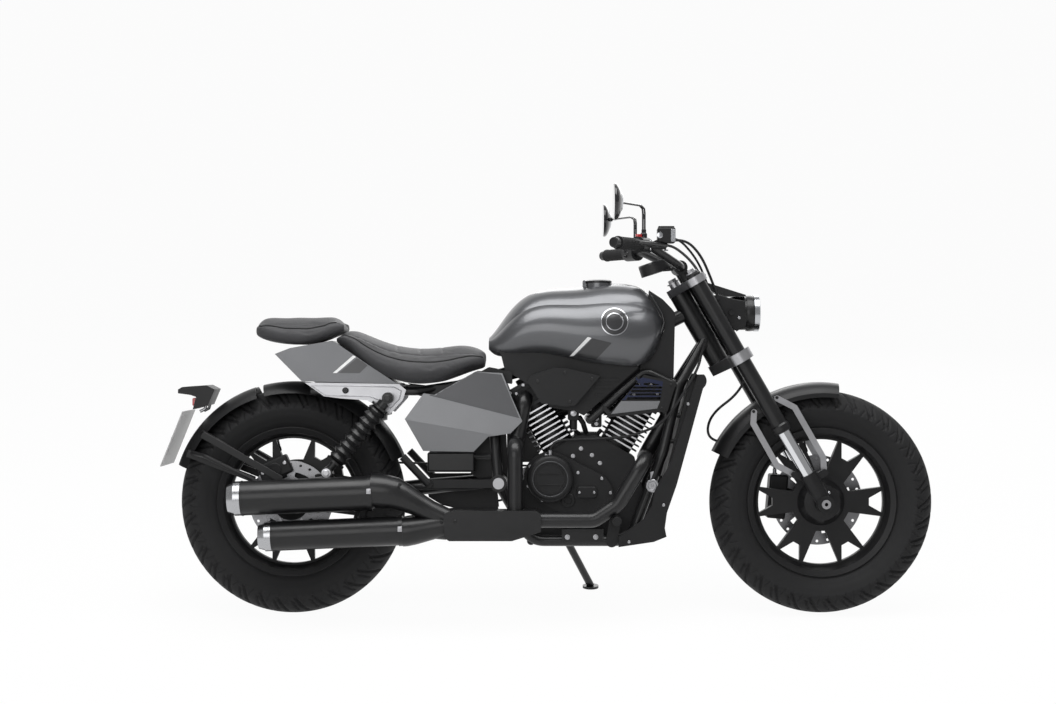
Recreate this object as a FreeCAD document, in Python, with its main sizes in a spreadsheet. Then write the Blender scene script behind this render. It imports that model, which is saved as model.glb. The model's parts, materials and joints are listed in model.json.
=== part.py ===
"""Cruiser motorcycle with a liquid-cooled V-twin, leaning on its side stand.

The machine is drawn upright: X points forward, Y to its left, Z up, with the middle of the
wheelbase on the ground at the start of the axes. Each piece is then placed by one lean, in which
both tyres and the foot of the stand rest on the floor. All lengths are in millimetres.
"""
import FreeCAD, Part
import math
import os
import re
import Sketcher
from FreeCAD import Placement, Rotation, Vector

SIZES = {
    # Running gear and stance
    "wheelbase": 1520,
    "lean_angle": 9,
    "rake_angle": 30,
    "yoke_offset": 52,
    "fit_gap": 0.3,
    "overrun": 5,
    # Tyres
    "front_tyre_radius": 320,
    "front_tyre_width": 130,
    "front_crown_radius": 67,
    "rear_tyre_radius": 323,
    "rear_tyre_width": 150,
    "rear_crown_radius": 79,
    "tyre_wall": 13,
    # Cast wheels
    "rim_radius": 215,
    "rim_inner_radius": 186,
    "rim_wall": 6,
    "bead_radius": 203,
    "front_rim_width": 88,
    "rear_rim_width": 112,
    "hub_radius": 68,
    "hub_wall": 16,
    "spoke_depth": 34,
    "spoke_count": 6,
    "spoke_width": 15,
    "fork_window_inner_radius": 139,
    "arm_window_inner_radius": 84,
    "axle_radius": 10,
    "axle_bore_radius": 5,
    "front_hub_width": 110,
    "rear_hub_width": 120,
    # Brakes
    "front_disc_radius": 131,
    "rear_disc_radius": 118,
    "disc_thickness": 5,
    "disc_band": 32,
    "disc_offset": 64,
    "rear_disc_offset": 72,
    "disc_hole_radius": 4,
    "disc_hole_count": 24,
    # Fork
    "leg_spacing": 200,
    "stanchion_radius": 18.5,
    "fork_outer_radius": 23,
    "fork_outer_bottom": 243,
    "fork_outer_top": 751,
    "fork_collar_height": 14,
    "fork_overlap": 110,
    "carrier_depth": 45,
    "axle_head": 6,
    "stanchion_bottom": 97,
    "carrier_radius": 24,
    "lower_clamp_height": 482,
    "lower_clamp_thickness": 30,
    "top_clamp_height": 734,
    "top_clamp_thickness": 22,
    "clamp_wall": 12,
    "stem_radius": 15,
    "head_radius": 30,
    "riser_height": 42,
    "riser_radius": 15,
    "riser_spacing": 86,
    "bar_radius": 12,
    "bar_clamp_forward": 16,
    "bar_half_width": 400,
    "bar_rise": 54,
    "bar_pull_back": 205,
    "grip_length": 125,
    "grip_radius": 16.5,
    "bar_bend_radius": 55,
    "grip_sweep": 28,
    "bar_end_length": 24,
    "bar_end_radius": 14,
    # Front fender and its stays
    "fender_clearance": 16,
    "fender_wall": 3,
    "fender_side_gap": 12,
    "fender_side_depth": 34,
    "fender_crown_share": 0.28,
    "fender_front_angle": 82,
    "fender_rear_angle": 155,
    "stay_width": 17,
    "stay_thickness": 4,
    "stay_lug_width": 20,
    # Headlamp and instrument
    "lamp_radius": 51,
    "lamp_front_x": 581,
    "lamp_height": 863,
    "lamp_depth": 118,
    "lamp_rim_width": 18,
    "lamp_bracket_width": 90,
    "lamp_bracket_thickness": 4,
    "gauge_radius": 44,
    "gauge_depth": 30,
    # Mirrors and controls
    "mirror_height": 102,
    "mirror_width": 120,
    "mirror_depth": 26,
    "mirror_centre_height": 1157,
    "mirror_stem_radius": 5,
    "switch_length": 58,
    "switch_radius": 23,
    "lever_length": 190,
    "lever_reach": 62,
    "lever_radius": 6,
    "reservoir_length": 50,
    "reservoir_width": 46,
    "reservoir_height": 44,
    # Front brake
    "caliper_length": 128,
    "caliper_height": 54,
    "caliper_width": 40,
    "hose_radius": 4,
    # Main frame
    "pivot_back": 167,
    "pivot_height": 381,
    "cradle_half_width": 100,
    "pivot_half_width": 138,
    "loop_waist_half_width": 100,
    "loop_waist_rise": 130,
    "backbone_rear_back": 210,
    "backbone_rear_height": 672,
    "backbone_bend_x": 200,
    "backbone_bend_height": 775,
    "backbone_radius": 20,
    "frame_bend_radius": 60,
    "frame_tube_radius": 15,
    "down_tube_x": 345,
    "down_tube_height": 653,
    "down_tube_knee_x": 300,
    "down_tube_knee_height": 470,
    "cradle_front_x": 205,
    "cradle_rear_back": 75,
    "cradle_height": 215,
    "seat_rail_radius": 12,
    "seat_rail_knee_back": 395,
    "seat_rail_half_width": 103,
    "seat_rail_height": 640,
    "seat_rail_end_back": 700,
    "pivot_lug_radius": 24,
    "brace_half_width": 80,
    "brace_knee_x": 250,
    "brace_knee_height": 697,
    "brace_foot_x": 93,
    "brace_foot_height": 558,
    "cradle_plate_rear_x": 12,
    "cradle_plate_length": 118,
    "cradle_plate_height": 35,
    "tray_front_back": 235,
    "tray_length": 135,
    "tray_right": 100,
    "tray_left": 70,
    "tray_bottom": 410,
    "tray_height": 56,
    # Swingarm and shock absorbers
    "swingarm_front_half": 112,
    "arm_half_width": 128,
    "arm_radius": 15,
    "arm_knee_back": 215,
    "arm_knee_drop": 18,
    "shock_low_back": 650,
    "shock_low_height": 412,
    "shock_top_back": 478,
    "shock_under_rail": 18,
    "shock_half_width": 160,
    "shock_eye_width": 24,
    "shock_eye_radius": 16,
    "shock_pin_radius": 7,
    "shock_body_radius": 11,
    "shock_spring_start": 42,
    "shock_spring_end": 38,
    "spring_radius": 28,
    "spring_wire": 8,
    "spring_turns": 9,
    # Belt drive
    "rear_pulley_radius": 108,
    "front_pulley_radius": 40,
    "pulley_offset": 84,
    "belt_width": 22,
    "belt_thickness": 5,
    "output_back": 80,
    "output_height": 375,
    # Engine
    "crank_x": 85,
    "crank_height": 340,
    "crankcase_half_width": 78,
    "vee_half_angle": 30,
    "cylinder_base": 165,
    "cylinder_top": 300,
    "cylinder_half_width": 60,
    "barrel_radius": 47,
    "fin_first": 178,
    "fin_pitch": 15,
    "fin_thickness": 4.5,
    "fin_count": 8,
    "fin_corner": 18,
    "head_block_top": 372,
    "head_block_half": 56,
    "clutch_x": -21,
    "clutch_height": 393,
    "clutch_radius": 66.6,
    "clutch_rim_radius": 51,
    "clutch_cover_width": 66,
    "primary_cover_width": 22,
    "alternator_radius": 62,
    "alternator_cover_width": 44,
    "starter_radius": 38,
    # Radiator and its shrouds
    "radiator_width": 240,
    "radiator_thickness": 28,
    "radiator_top_x": 404,
    "radiator_over_tube": 12,
    "radiator_length": 290,
    "radiator_tilt": 15,
    "shroud_half_width": 128,
    "shroud_thickness": 5,
    "shroud_bottom": 200,
    "shroud_height": 488,
    "shroud_rear_x": 172,
    "shroud_length": 249,
    # Fuel tank and cap
    "tank_rear_back": 196,
    "tank_length": 502,
    "tank_bottom": 711,
    "tank_half_width": 142,
    "tunnel_gap": 8,
    "filler_x": 120,
    "filler_height": 950,
    "filler_depth": 70,
    "filler_radius": 38,
    "filler_bore_radius": 24,
    "cap_thickness": 6,
    "cap_hinge_radius": 4,
    # Cushions
    "rider_rear_back": 639,
    "rider_length": 444,
    "rider_over_rail": 15,
    "rider_height": 158,
    "rider_half_width": 150,
    "join_overlap": 8,
    "join_length": 52,
    "pillion_rear_back": 868,
    "pillion_length": 271,
    "pillion_over_rail": 129,
    "pillion_height": 81,
    "pillion_half_width": 112,
    # Rear bodywork
    "rear_fender_clearance": 12,
    "rear_fender_side_gap": 10,
    "rear_fender_side_depth": 24,
    "rear_fender_front_angle": 22,
    "rear_fender_rear_angle": 104,
    "cowl_rear_back": 802,
    "cowl_over_rail": 21,
    "cowl_length": 348,
    "cowl_height": 124,
    "cowl_half_width": 112,
    "bracket_rear_back": 716,
    "bracket_under_rail": 65,
    "bracket_length": 287,
    "bracket_height": 90,
    "bracket_thickness": 8,
    "side_cover_rear_back": 432,
    "side_cover_length": 332,
    "side_cover_bottom": 469,
    "side_cover_height": 227,
    "side_cover_inner": 116,
    "side_cover_depth": 18,
    "upper_facet_fall": 14,
    "upper_facet_reach": 160,
    "lower_facet_fall": 17,
    "lower_facet_reach": 100,
    "airbox_rear_back": 85,
    "airbox_length": 206,
    "airbox_bottom": 597,
    "airbox_height": 110,
    "airbox_inner": 80,
    "airbox_depth": 40,
    "trim_gap": 0.7,
    "trim_thickness": 6,
    "trim_rear_back": 165,
    "trim_length": 401,
    "trim_bottom": 570,
    "trim_height": 190,
    "trim_rib_height": 7,
    "head_panel_inner": 56,
    "head_panel_thickness": 5,
    "head_panel_rear_x": 236,
    "head_panel_length": 101,
    "head_panel_bottom": 668,
    "head_panel_height": 260,
    "grille_inner": 101,
    "grille_thickness": 4,
    "grille_rear_x": 137,
    "grille_length": 200,
    "grille_bottom": 565,
    "grille_height": 122,
    "slat_height": 5,
    "panel_boss_radius": 6,
    "hugger_front_angle": 108,
    "hugger_rear_angle": 162,
    "hugger_arm_radius": 6,
    "hugger_foot_x": 12,
    "hugger_foot_z": 50,
    "hugger_upper_angle": 138,
    "hugger_lower_angle": 150,
    "plate_top_back": 1062,
    "plate_top_height": 582,
    "plate_tilt": 22,
    "plate_width": 220,
    "plate_height": 168,
    "plate_thickness": 3,
    "plate_bolt_across": 180,
    "plate_hole_radius": 3.5,
    "tail_lamp_rear_back": 1085,
    "tail_lamp_length": 105,
    "tail_lamp_bottom": 587,
    "tail_lamp_height": 69,
    "tail_lamp_half_width": 60,
    # Exhaust
    "exhaust_offset": 205,
    "header_radius": 21,
    "header_bend_radius": 45,
    "header_knee_x": 244,
    "header_knee_height": 452,
    "header_low_x": 165,
    "header_low_height": 282,
    "rear_header_inner": 90,
    "rear_header_height": 487,
    "shield_back": 120,
    "shield_radius": 22,
    "collector_front_x": -48,
    "collector_length": 268,
    "collector_bottom": 227,
    "collector_height": 84,
    "collector_width": 80,
    "upper_front_back": 522,
    "upper_front_height": 358,
    "upper_rear_back": 884,
    "upper_rear_height": 343,
    "upper_radius": 48,
    "upper_cap_length": 37,
    "lower_front_back": 436,
    "lower_front_height": 253,
    "lower_rear_back": 799,
    "lower_rear_height": 237,
    "lower_radius": 41,
    "lower_cap_length": 36,
    # Calipers, pegs and side stand
    "caliper_inner_width": 20,
    "front_caliper_angle": 85,
    "rear_caliper_length": 92,
    "rear_caliper_height": 54,
    "rear_caliper_angle": 25,
    "peg_x": 164,
    "peg_height": 280,
    "peg_radius": 11,
    "peg_length": 90,
    "peg_bracket_length": 30,
    "pillion_peg_back": 363,
    "pillion_peg_height": 380,
    "pillion_peg_fold_back": 73,
    "pillion_peg_fold_rise": 78,
    "pillion_bracket_width": 24,
    "pillion_bracket_thickness": 9,
    "gauge_lean_share": 0.1,
    "stand_pivot_x": 20,
    "stand_forward": 85,
    "stand_foot_offset": 265,
    "stand_radius": 11,
    "stand_reach": 25,
    "stand_pin_radius": 6,
    "stand_eye_radius": 18,
    "stand_eye_width": 24,
    "stand_foot_radius": 24,
    "stand_foot_thickness": 7,
}

doc = FreeCAD.newDocument("CruiserMotorcycle")
sheet = doc.addObject("Spreadsheet::Sheet", "Sizes")

for row, (alias, value) in enumerate(SIZES.items(), start=1):
    sheet.set(f"A{row}", alias)
    sheet.set(f"B{row}", str(value))
    sheet.setAlias(f"B{row}", alias)
doc.recompute()


class SheetReader:
    """Reads a size from the spreadsheet by its alias."""

    def __getattr__(self, alias):
        return float(sheet.get(alias))


size = SheetReader()
SUB_PARTS = []
ALONG_X = Vector(1, 0, 0)
ALONG_Y = Vector(0, 1, 0)
ALONG_Z = Vector(0, 0, 1)
SIDE_VIEW = Rotation(ALONG_X, 90)


def from_sheet(text):
    """Writes the sheet's name before each alias in an expression."""
    return re.sub(r"[a-z_][a-z_0-9]*", lambda word: "Sizes." + word[0] if word[0] in SIZES else word[0], text)


def bind(target, **expressions):
    """Ties properties of an object to cells of the sheet."""
    for name, text in expressions.items():
        target.setExpression(name, from_sheet(text))


def keep(target, label, place):
    """Makes an object a sub-part: its label names its file, its placement leans it."""
    target.Label = label
    target.Placement = place
    SUB_PARTS.append(target)
    return target


def solid_feature(label, shape, place):
    """A sub-part whose shape is worked out by Part's own functions."""
    feature = doc.addObject("Part::Feature", label)
    feature.Shape = Part.makeCompound([shape])
    return keep(feature, label, place)


def curves(points):
    """Lines through the points; one marked "arc" is the middle of an arc between its neighbours."""
    found = []
    count = len(points)
    start = 0
    while start < count:
        here = Vector(points[start][0], points[start][1], 0)
        after = points[(start + 1) % count]
        if len(after) == 3:
            last = points[(start + 2) % count]
            found.append(Part.Arc(here, Vector(after[0], after[1], 0), Vector(last[0], last[1], 0)))
            start += 2
        else:
            found.append(Part.LineSegment(here, Vector(after[0], after[1], 0)))
            start += 1
    return found


def spread(shares, start_x, start_z, length, height):
    """Turns an outline in shares of a length and a height into points."""
    return [(start_x + point[0] * length, start_z + point[1] * height) + tuple(point[2:]) for point in shares]


def side_wire(points, across):
    """An outline of X and Z, at a place across the machine."""
    wire = Part.Wire([curve.toShape() for curve in curves(points)])
    wire.Placement = Placement(Vector(0, across, 0), SIDE_VIEW)
    return wire


def side_prism(points, low_y, high_y):
    """An outline of X and Z, carried from one place across the machine to another."""
    return Part.Face(side_wire(points, low_y)).extrude(Vector(0, high_y - low_y, 0))


def new_sketch(body, role, points=(), circles=()):
    """A sketch on one of a body's own planes: an outline, and circles of radii in the sheet."""
    sketch = body.newObject("Sketcher::SketchObject", "Outline")
    plane = [item for item in body.Origin.OriginFeatures if item.Role == role][0]
    sketch.AttachmentSupport = [(plane, "")]
    sketch.MapMode = "FlatFace"
    if points:
        sketch.addGeometry(curves(points), False)
    for middle_x, middle_z, radius in circles:
        circle = Part.Circle(Vector(middle_x, middle_z, 0), ALONG_Z, float(sheet.get(radius)))
        place = sketch.addGeometry(circle, False)
        rule = sketch.addConstraint(Sketcher.Constraint("Radius", place, float(sheet.get(radius))))
        sketch.setExpression(f"Constraints[{rule}]", from_sheet(radius))
    return sketch


def padded_body(label, place, points, length, near="0", role="XZ_Plane", middle=False, left=False, circles=()):
    """An outline padded from a plane; near is how far its first face is from the body's origin."""
    body = doc.addObject("PartDesign::Body", label)
    sketch = new_sketch(body, role, points, circles)
    sketch.setExpression("AttachmentOffset.Base.z", from_sheet(f"-({near})" if left else f"{near}"))
    pad = body.newObject("PartDesign::Pad", "Pad")
    pad.Profile = sketch
    pad.Reversed = left
    pad.Midplane = middle
    bind(pad, Length=length)
    keep(body, label, place)
    return body


def revolved_body(label, place, points, axis="V_Axis", role="XY_Plane"):
    """An outline turned once round an axis of its sketch."""
    body = doc.addObject("PartDesign::Body", label)
    sketch = new_sketch(body, role, points)
    turn = body.newObject("PartDesign::Revolution", "Turn")
    turn.Profile = sketch
    turn.ReferenceAxis = (sketch, [axis])
    turn.Angle = 360
    keep(body, label, place)
    return body


def pocket_pattern(body, points, count, role="XZ_Plane", circles=()):
    """Cuts an outline right through a body, and repeats the cut round its Y axis."""
    sketch = new_sketch(body, role, points, circles)
    cut = body.newObject("PartDesign::Pocket", "Window")
    cut.Profile = sketch
    cut.Type = "ThroughAll"
    cut.Midplane = True
    round_it = body.newObject("PartDesign::PolarPattern", "Windows")
    round_it.Originals = [cut]
    axis = [item for item in body.Origin.OriginFeatures if item.Role == "Y_Axis"][0]
    round_it.Axis = (axis, [""])
    round_it.Angle = 360
    bind(round_it, Occurrences=count)
    body.Tip = round_it


def bent_path(points, bend):
    """Straight runs through the points, joined by arcs of one radius that touch both runs."""
    edges = []
    last = points[0]
    for before, corner, after in zip(points, points[1:], points[2:]):
        back = (before - corner).normalize()
        ahead = (after - corner).normalize()
        half_turn = (math.pi - back.getAngle(ahead)) / 2
        reach = bend * math.tan(half_turn)
        middle = corner + (back + ahead).normalize() * (bend / math.cos(half_turn) - bend)
        start = corner + back * reach
        end = corner + ahead * reach
        edges.append(Part.LineSegment(last, start).toShape())
        edges.append(Part.Arc(start, middle, end).toShape())
        last = end
    edges.append(Part.LineSegment(last, points[-1]).toShape())
    return Part.Wire(edges)


def tube(points, radius, bend):
    """A round bar along straight runs and arcs."""
    path = bent_path(points, bend)
    ring = Part.Wire([Part.Circle(points[0], points[1] - points[0], radius).toShape()])
    return path.makePipeShell([ring], True, False)


def rod(start, end, radius):
    """A straight round bar between two places."""
    return Part.makeCylinder(radius, (end - start).Length, start, end - start)


def cross_rod(x, z, low_y, high_y, radius):
    """A round bar across the machine."""
    return Part.makeCylinder(radius, high_y - low_y, Vector(x, low_y, z), ALONG_Y)


def mirrored(shape):
    """The same shape on the other side of the machine."""
    return shape.mirror(Vector(0, 0, 0), ALONG_Y)


def both_sides(shape):
    """A shape and its mirror image, as one shape with two solids."""
    return Part.makeCompound([shape, mirrored(shape)])


def joined(shapes):
    """Several shapes fused into one."""
    return shapes[0].multiFuse(shapes[1:])


# Stance: both tyres touch the floor at the lean, whatever their crowns
lean = math.radians(size.lean_angle)
lift = size.rear_crown_radius * (1 - math.cos(lean))


def axle_height(tyre_radius, crown_radius):
    """Height of an axle above the upright ground line, so that the leaning tyre rests on the floor."""
    return tyre_radius - crown_radius + (crown_radius - lift) / math.cos(lean)


def floor_height(across):
    """Height of the floor in the upright machine's own axes, at a place across it."""
    return (across * math.sin(lean) - lift) / math.cos(lean)


front_axle = Vector(size.wheelbase / 2, 0, axle_height(size.front_tyre_radius, size.front_crown_radius))
rear_axle = Vector(-size.wheelbase / 2, 0, axle_height(size.rear_tyre_radius, size.rear_crown_radius))
LEAN = Placement(Vector(0, 0, lift), Rotation(ALONG_X, -size.lean_angle))
FORK = LEAN.multiply(Placement(front_axle, Rotation(ALONG_Y, -size.rake_angle)))
FRONT_WHEEL = LEAN.multiply(Placement(front_axle, Rotation()))
REAR_WHEEL = LEAN.multiply(Placement(rear_axle, Rotation()))
to_fork = Placement(front_axle, Rotation(ALONG_Y, -size.rake_angle)).inverse()


def fork_place(forward, up, across=0):
    """A place in the upright machine, from one in the fork's own axes."""
    return to_fork.inverse().multVec(Vector(forward, across, up))


# Tyres: a round crown, sidewalls and beads, hollow inside
def tyre_outline(tyre_radius, width, crown_radius, rim_width):
    """Radius and place across of a tyre's section."""
    crown = tyre_radius - crown_radius
    half = width / 2
    wall = size.tyre_wall
    shoulder = math.asin(half / crown_radius)
    edge = crown + crown_radius * math.cos(shoulder)
    bead = rim_width / 2 - size.rim_wall - size.fit_gap
    flange = size.rim_radius + size.fit_gap
    inner = crown_radius - wall
    return [
        (size.bead_radius + size.fit_gap, bead),
        (flange, bead),
        ((flange + edge) / 2, (bead + half) / 2 + wall / 3, "arc"),
        (edge, half),
        (tyre_radius, 0, "arc"),
        (edge, -half),
        ((flange + edge) / 2, -(bead + half) / 2 - wall / 3, "arc"),
        (flange, -bead),
        (size.bead_radius + size.fit_gap, -bead),
        (size.bead_radius + size.fit_gap, wall - bead),
        (flange, wall - bead),
        (crown, -inner),
        (crown + inner, 0, "arc"),
        (crown, inner),
        (flange, bead - wall),
        (size.bead_radius + size.fit_gap, bead - wall),
    ]


# Cast wheels: barrel, flanges, web and hub in one outline, then the windows between the spokes
def wheel_outline(rim_width, hub_width):
    """Radius and place across of a cast wheel's section."""
    half = rim_width / 2
    wall = size.rim_wall
    hub = hub_width / 2
    web = size.spoke_depth / 2
    inner = size.rim_inner_radius
    right = [
        (size.axle_radius + size.fit_gap, hub),
        (size.axle_radius + size.fit_gap + size.hub_wall, hub),
        (size.hub_radius - size.hub_wall, hub - size.hub_wall / 2),
        (size.hub_radius, web),
        (inner, web * 2 / 3),
        (size.bead_radius - wall, half - wall),
        (size.rim_radius - wall / 2, half),
        (size.rim_radius, half - wall / 2, "arc"),
        (size.rim_radius - wall / 2, half - wall),
        (size.bead_radius, half - wall),
        (size.bead_radius, half - 4 * wall),
        (size.bead_radius - 2 * wall / 3, half - 5 * wall),
    ]
    left = []
    last = len(right) - 1
    for place in range(last, -1, -1):
        point = right[place]
        left.append((point[0], -point[1]) + tuple(point[2:]))
    return right + left


def ring_window(inner, outer, middle_angle, inner_half, outer_half):
    """A window between two radii, with straight sides and an arc along the rim."""
    turn = Rotation(ALONG_Z, middle_angle)
    corner = math.sqrt(outer ** 2 - outer_half ** 2)
    points = [
        (inner, -inner_half),
        (corner, -outer_half),
        (outer, 0, "arc"),
        (corner, outer_half),
        (inner, inner_half),
    ]
    turned = []
    for point in points:
        place = turn.multVec(Vector(point[0], point[1], 0))
        turned.append((place.x, place.y) + tuple(point[2:]))
    return turned


def build_wheel(label, place, rim_width, hub_width):
    """A cast wheel whose six spokes each part into two branches before the rim."""
    body = revolved_body(label, place, wheel_outline(rim_width, hub_width))
    pitch = 360 / size.spoke_count
    reach = size.rim_inner_radius - size.rim_wall
    spoke = size.spoke_width
    branch_half = reach * math.radians(pitch) / 4 - spoke
    fork_half = size.fork_window_inner_radius * math.radians(pitch) / 4 - spoke
    pocket_pattern(
        body,
        ring_window(size.fork_window_inner_radius, reach, 0, fork_half / 2, branch_half),
        "spoke_count",
    )
    arm_half = size.arm_window_inner_radius * math.radians(pitch) / 2 - spoke * 2
    rim_half = reach * math.radians(pitch) / 4 + spoke / 4
    pocket_pattern(
        body,
        ring_window(size.arm_window_inner_radius, reach, pitch / 2, arm_half, rim_half),
        "spoke_count",
    )
    return body


def build_disc(label, place, radius, offset, left):
    """A brake disc: a drilled band with arms to the hub."""
    inner = radius - size.disc_band
    bore = size.hub_radius - size.hub_wall
    body = doc.addObject("PartDesign::Body", label)
    sketch = new_sketch(body, "XZ_Plane")
    for ring in (radius, bore):
        sketch.addGeometry(Part.Circle(Vector(0, 0, 0), ALONG_Z, ring), False)
    sketch.setExpression("AttachmentOffset.Base.z", from_sheet(f"-({offset})" if left else offset))
    pad = body.newObject("PartDesign::Pad", "Band")
    pad.Profile = sketch
    pad.Reversed = left
    bind(pad, Length="disc_thickness")
    keep(body, label, place)
    pitch = math.pi / size.spoke_count
    half = inner * pitch - size.spoke_width / 2
    low_half = (bore + size.hub_wall) * pitch - size.spoke_width / 2
    pocket_pattern(
        body,
        ring_window(bore + size.hub_wall, inner, 0, low_half, half * 5 / 6),
        "spoke_count",
    )
    pocket_pattern(
        body,
        (),
        "disc_hole_count",
        circles=[(radius - size.disc_band / 3, 0, "disc_hole_radius")],
    )
    return body


revolved_body(
    "front_tyre",
    FRONT_WHEEL,
    tyre_outline(
        size.front_tyre_radius,
        size.front_tyre_width,
        size.front_crown_radius,
        size.front_rim_width,
    ),
)
revolved_body(
    "rear_tyre",
    REAR_WHEEL,
    tyre_outline(
        size.rear_tyre_radius,
        size.rear_tyre_width,
        size.rear_crown_radius,
        size.rear_rim_width,
    ),
)
build_wheel("front_wheel", FRONT_WHEEL, size.front_rim_width, size.front_hub_width)
build_wheel("rear_wheel", REAR_WHEEL, size.rear_rim_width, size.rear_hub_width)
build_disc("front_disc", FRONT_WHEEL, size.front_disc_radius, "disc_offset", True)
build_disc("rear_disc", REAR_WHEEL, size.rear_disc_radius, "rear_disc_offset", False)


# Fork: everything that steers, drawn round the front axle with Z up along the legs
leg_half = size.leg_spacing / 2
stem_x = -size.yoke_offset
clamp_boss = size.fork_outer_radius + size.clamp_wall
outer_hole = size.fork_outer_radius + size.fit_gap
lower_clamp_top = size.lower_clamp_height + size.lower_clamp_thickness / 2
top_clamp_bottom = size.top_clamp_height - size.top_clamp_thickness / 2
top_clamp_top = size.top_clamp_height + size.top_clamp_thickness / 2


def clamp_outline(boss, stem_boss):
    """Plan of a fork clamp: a round boss for each leg, and one behind for the stem."""
    waist = boss / 4
    return [
        (boss, leg_half),
        (0, leg_half + boss, "arc"),
        (-boss, leg_half),
        (stem_x - stem_boss, stem_boss * 2 / 3),
        (stem_x - stem_boss * 4 / 3, 0, "arc"),
        (stem_x - stem_boss, -stem_boss * 2 / 3),
        (-boss, -leg_half),
        (0, -leg_half - boss, "arc"),
        (boss, -leg_half),
        (-waist, stem_boss - leg_half),
        (-waist, leg_half - stem_boss),
    ]


def clamp_shape(height, thickness, boss, stem_hole):
    """A fork clamp with its three holes."""
    plan = Part.Face(Part.Wire([curve.toShape() for curve in curves(clamp_outline(boss, boss * 3 / 4))]))
    block = plan.extrude(ALONG_Z * thickness)
    block.translate(Vector(0, 0, height - thickness / 2))
    for side in (-1, 1):
        hole_start = Vector(0, side * leg_half, height - thickness)
        block = block.cut(Part.makeCylinder(outer_hole, 2 * thickness, hole_start))
    if stem_hole:
        start = Vector(stem_x, 0, height - thickness)
        block = block.cut(Part.makeCylinder(stem_hole, 2 * thickness, start))
    return block


stem = Part.makeCylinder(
    size.stem_radius,
    top_clamp_top + size.clamp_wall - size.lower_clamp_height,
    Vector(stem_x, 0, size.lower_clamp_height),
)
lower_clamp = clamp_shape(size.lower_clamp_height, size.lower_clamp_thickness, clamp_boss, 0)
solid_feature("lower_clamp", lower_clamp.fuse(stem), FORK)
top_clamp = clamp_shape(
    size.top_clamp_height,
    size.top_clamp_thickness,
    clamp_boss - size.clamp_wall / 3,
    size.stem_radius + size.fit_gap,
)
solid_feature("top_clamp", top_clamp, FORK)


def two_legs(points):
    """A turned piece on each fork leg: an outline of radius and height."""
    wire = Part.Wire([curve.toShape() for curve in curves(points)])
    wire.Placement = Placement(Vector(0, 0, 0), SIDE_VIEW)
    turned = Part.Face(wire).revolve(Vector(0, 0, 0), ALONG_Z, 360)
    legs = []
    for side in (-1, 1):
        leg = turned.copy()
        leg.translate(Vector(0, side * leg_half, 0))
        legs.append(leg)
    return legs


collar = size.fork_outer_radius + size.rim_wall / 2
outer_bore = size.stanchion_radius + size.fit_gap
fork_tube = [
    (outer_bore, size.fork_outer_bottom),
    (collar, size.fork_outer_bottom),
    (collar, size.fork_outer_bottom + size.fork_collar_height),
    (size.fork_outer_radius, size.fork_outer_bottom + size.fork_collar_height * 4 / 3),
    (size.fork_outer_radius, size.fork_outer_top),
    (size.stem_radius, size.fork_outer_top + size.clamp_wall / 2),
    (0, size.fork_outer_top + size.clamp_wall / 2),
    (0, size.fork_outer_bottom + size.fork_overlap),
    (outer_bore, size.fork_outer_bottom + size.fork_overlap),
]
solid_feature("fork_outer_tubes", Part.makeCompound(two_legs(fork_tube)), FORK)
stanchion_top = size.fork_outer_bottom + size.fork_overlap - size.fit_gap
stanchion_foot = size.stanchion_bottom - size.carrier_depth
chrome_tube = [
    (0, stanchion_foot),
    (size.stanchion_radius, stanchion_foot),
    (size.stanchion_radius, stanchion_top),
    (0, stanchion_top),
]
solid_feature("fork_inner_tubes", Part.makeCompound(two_legs(chrome_tube)), FORK)
# Front axle: hollow, with a ring at its right end and spacers beside the hub
axle_half = leg_half + size.carrier_radius + size.fit_gap
spacer_start = size.front_hub_width / 2 + size.fit_gap
spacer_end = leg_half - size.carrier_radius - size.fit_gap
axle = cross_rod(0, 0, -axle_half, axle_half, size.axle_radius)
collars = [
    cross_rod(0, 0, spacer_start, spacer_end, size.axle_radius + size.rim_wall),
    cross_rod(0, 0, -spacer_end, -spacer_start, size.axle_radius + size.rim_wall),
    cross_rod(0, 0, -axle_half - size.axle_head, -axle_half, size.axle_radius + size.rim_wall / 2),
    cross_rod(0, 0, axle_half, axle_half + size.axle_head, size.axle_radius + size.rim_wall / 2),
]
bore_reach = axle_half + size.axle_head + size.overrun
axle_bore = cross_rod(0, 0, -bore_reach, bore_reach, size.axle_bore_radius)
solid_feature("front_axle", joined([axle] + collars).cut(axle_bore), FORK)

# Front fender: a shell round the tyre with turned-down sides, in the wheel's own axes
fender_inner = size.front_tyre_radius + size.fender_clearance
fender_outer = fender_inner + size.fender_wall
fender_half = size.front_tyre_width / 2 + size.fender_side_gap


def fender_shell(inner, half, side_depth, start_angle, end_angle):
    """A channel over a tyre between two angles from straight ahead."""
    outer = inner + size.fender_wall
    inside = half - size.fender_wall
    crown = half * size.fender_crown_share
    section = [
        (inner - side_depth, half),
        (inner - crown, half),
        (outer - crown / 5, half * 3 / 4, "arc"),
        (outer, 0),
        (outer - crown / 5, -half * 3 / 4, "arc"),
        (inner - crown, -half),
        (inner - side_depth, -half),
        (inner - side_depth, -inside),
        (inner - crown, -inside),
        (inner - crown / 5, -inside * 3 / 4, "arc"),
        (inner, 0),
        (inner - crown / 5, inside * 3 / 4, "arc"),
        (inner - crown, inside),
        (inner - side_depth, inside),
    ]
    face = Part.Face(Part.Wire([curve.toShape() for curve in curves(section)]))
    face.rotate(Vector(0, 0, 0), ALONG_Y, -start_angle)
    return face.revolve(Vector(0, 0, 0), ALONG_Y, start_angle - end_angle)


fender = fender_shell(
    fender_inner,
    fender_half,
    size.fender_side_depth,
    size.fender_front_angle,
    size.fender_rear_angle,
)
solid_feature("front_fender", fender, FRONT_WHEEL)

# Fender stays: two bent straps on each side, from the fork carrier to the fender's edge
stay_y = fender_half + size.fit_gap


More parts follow.
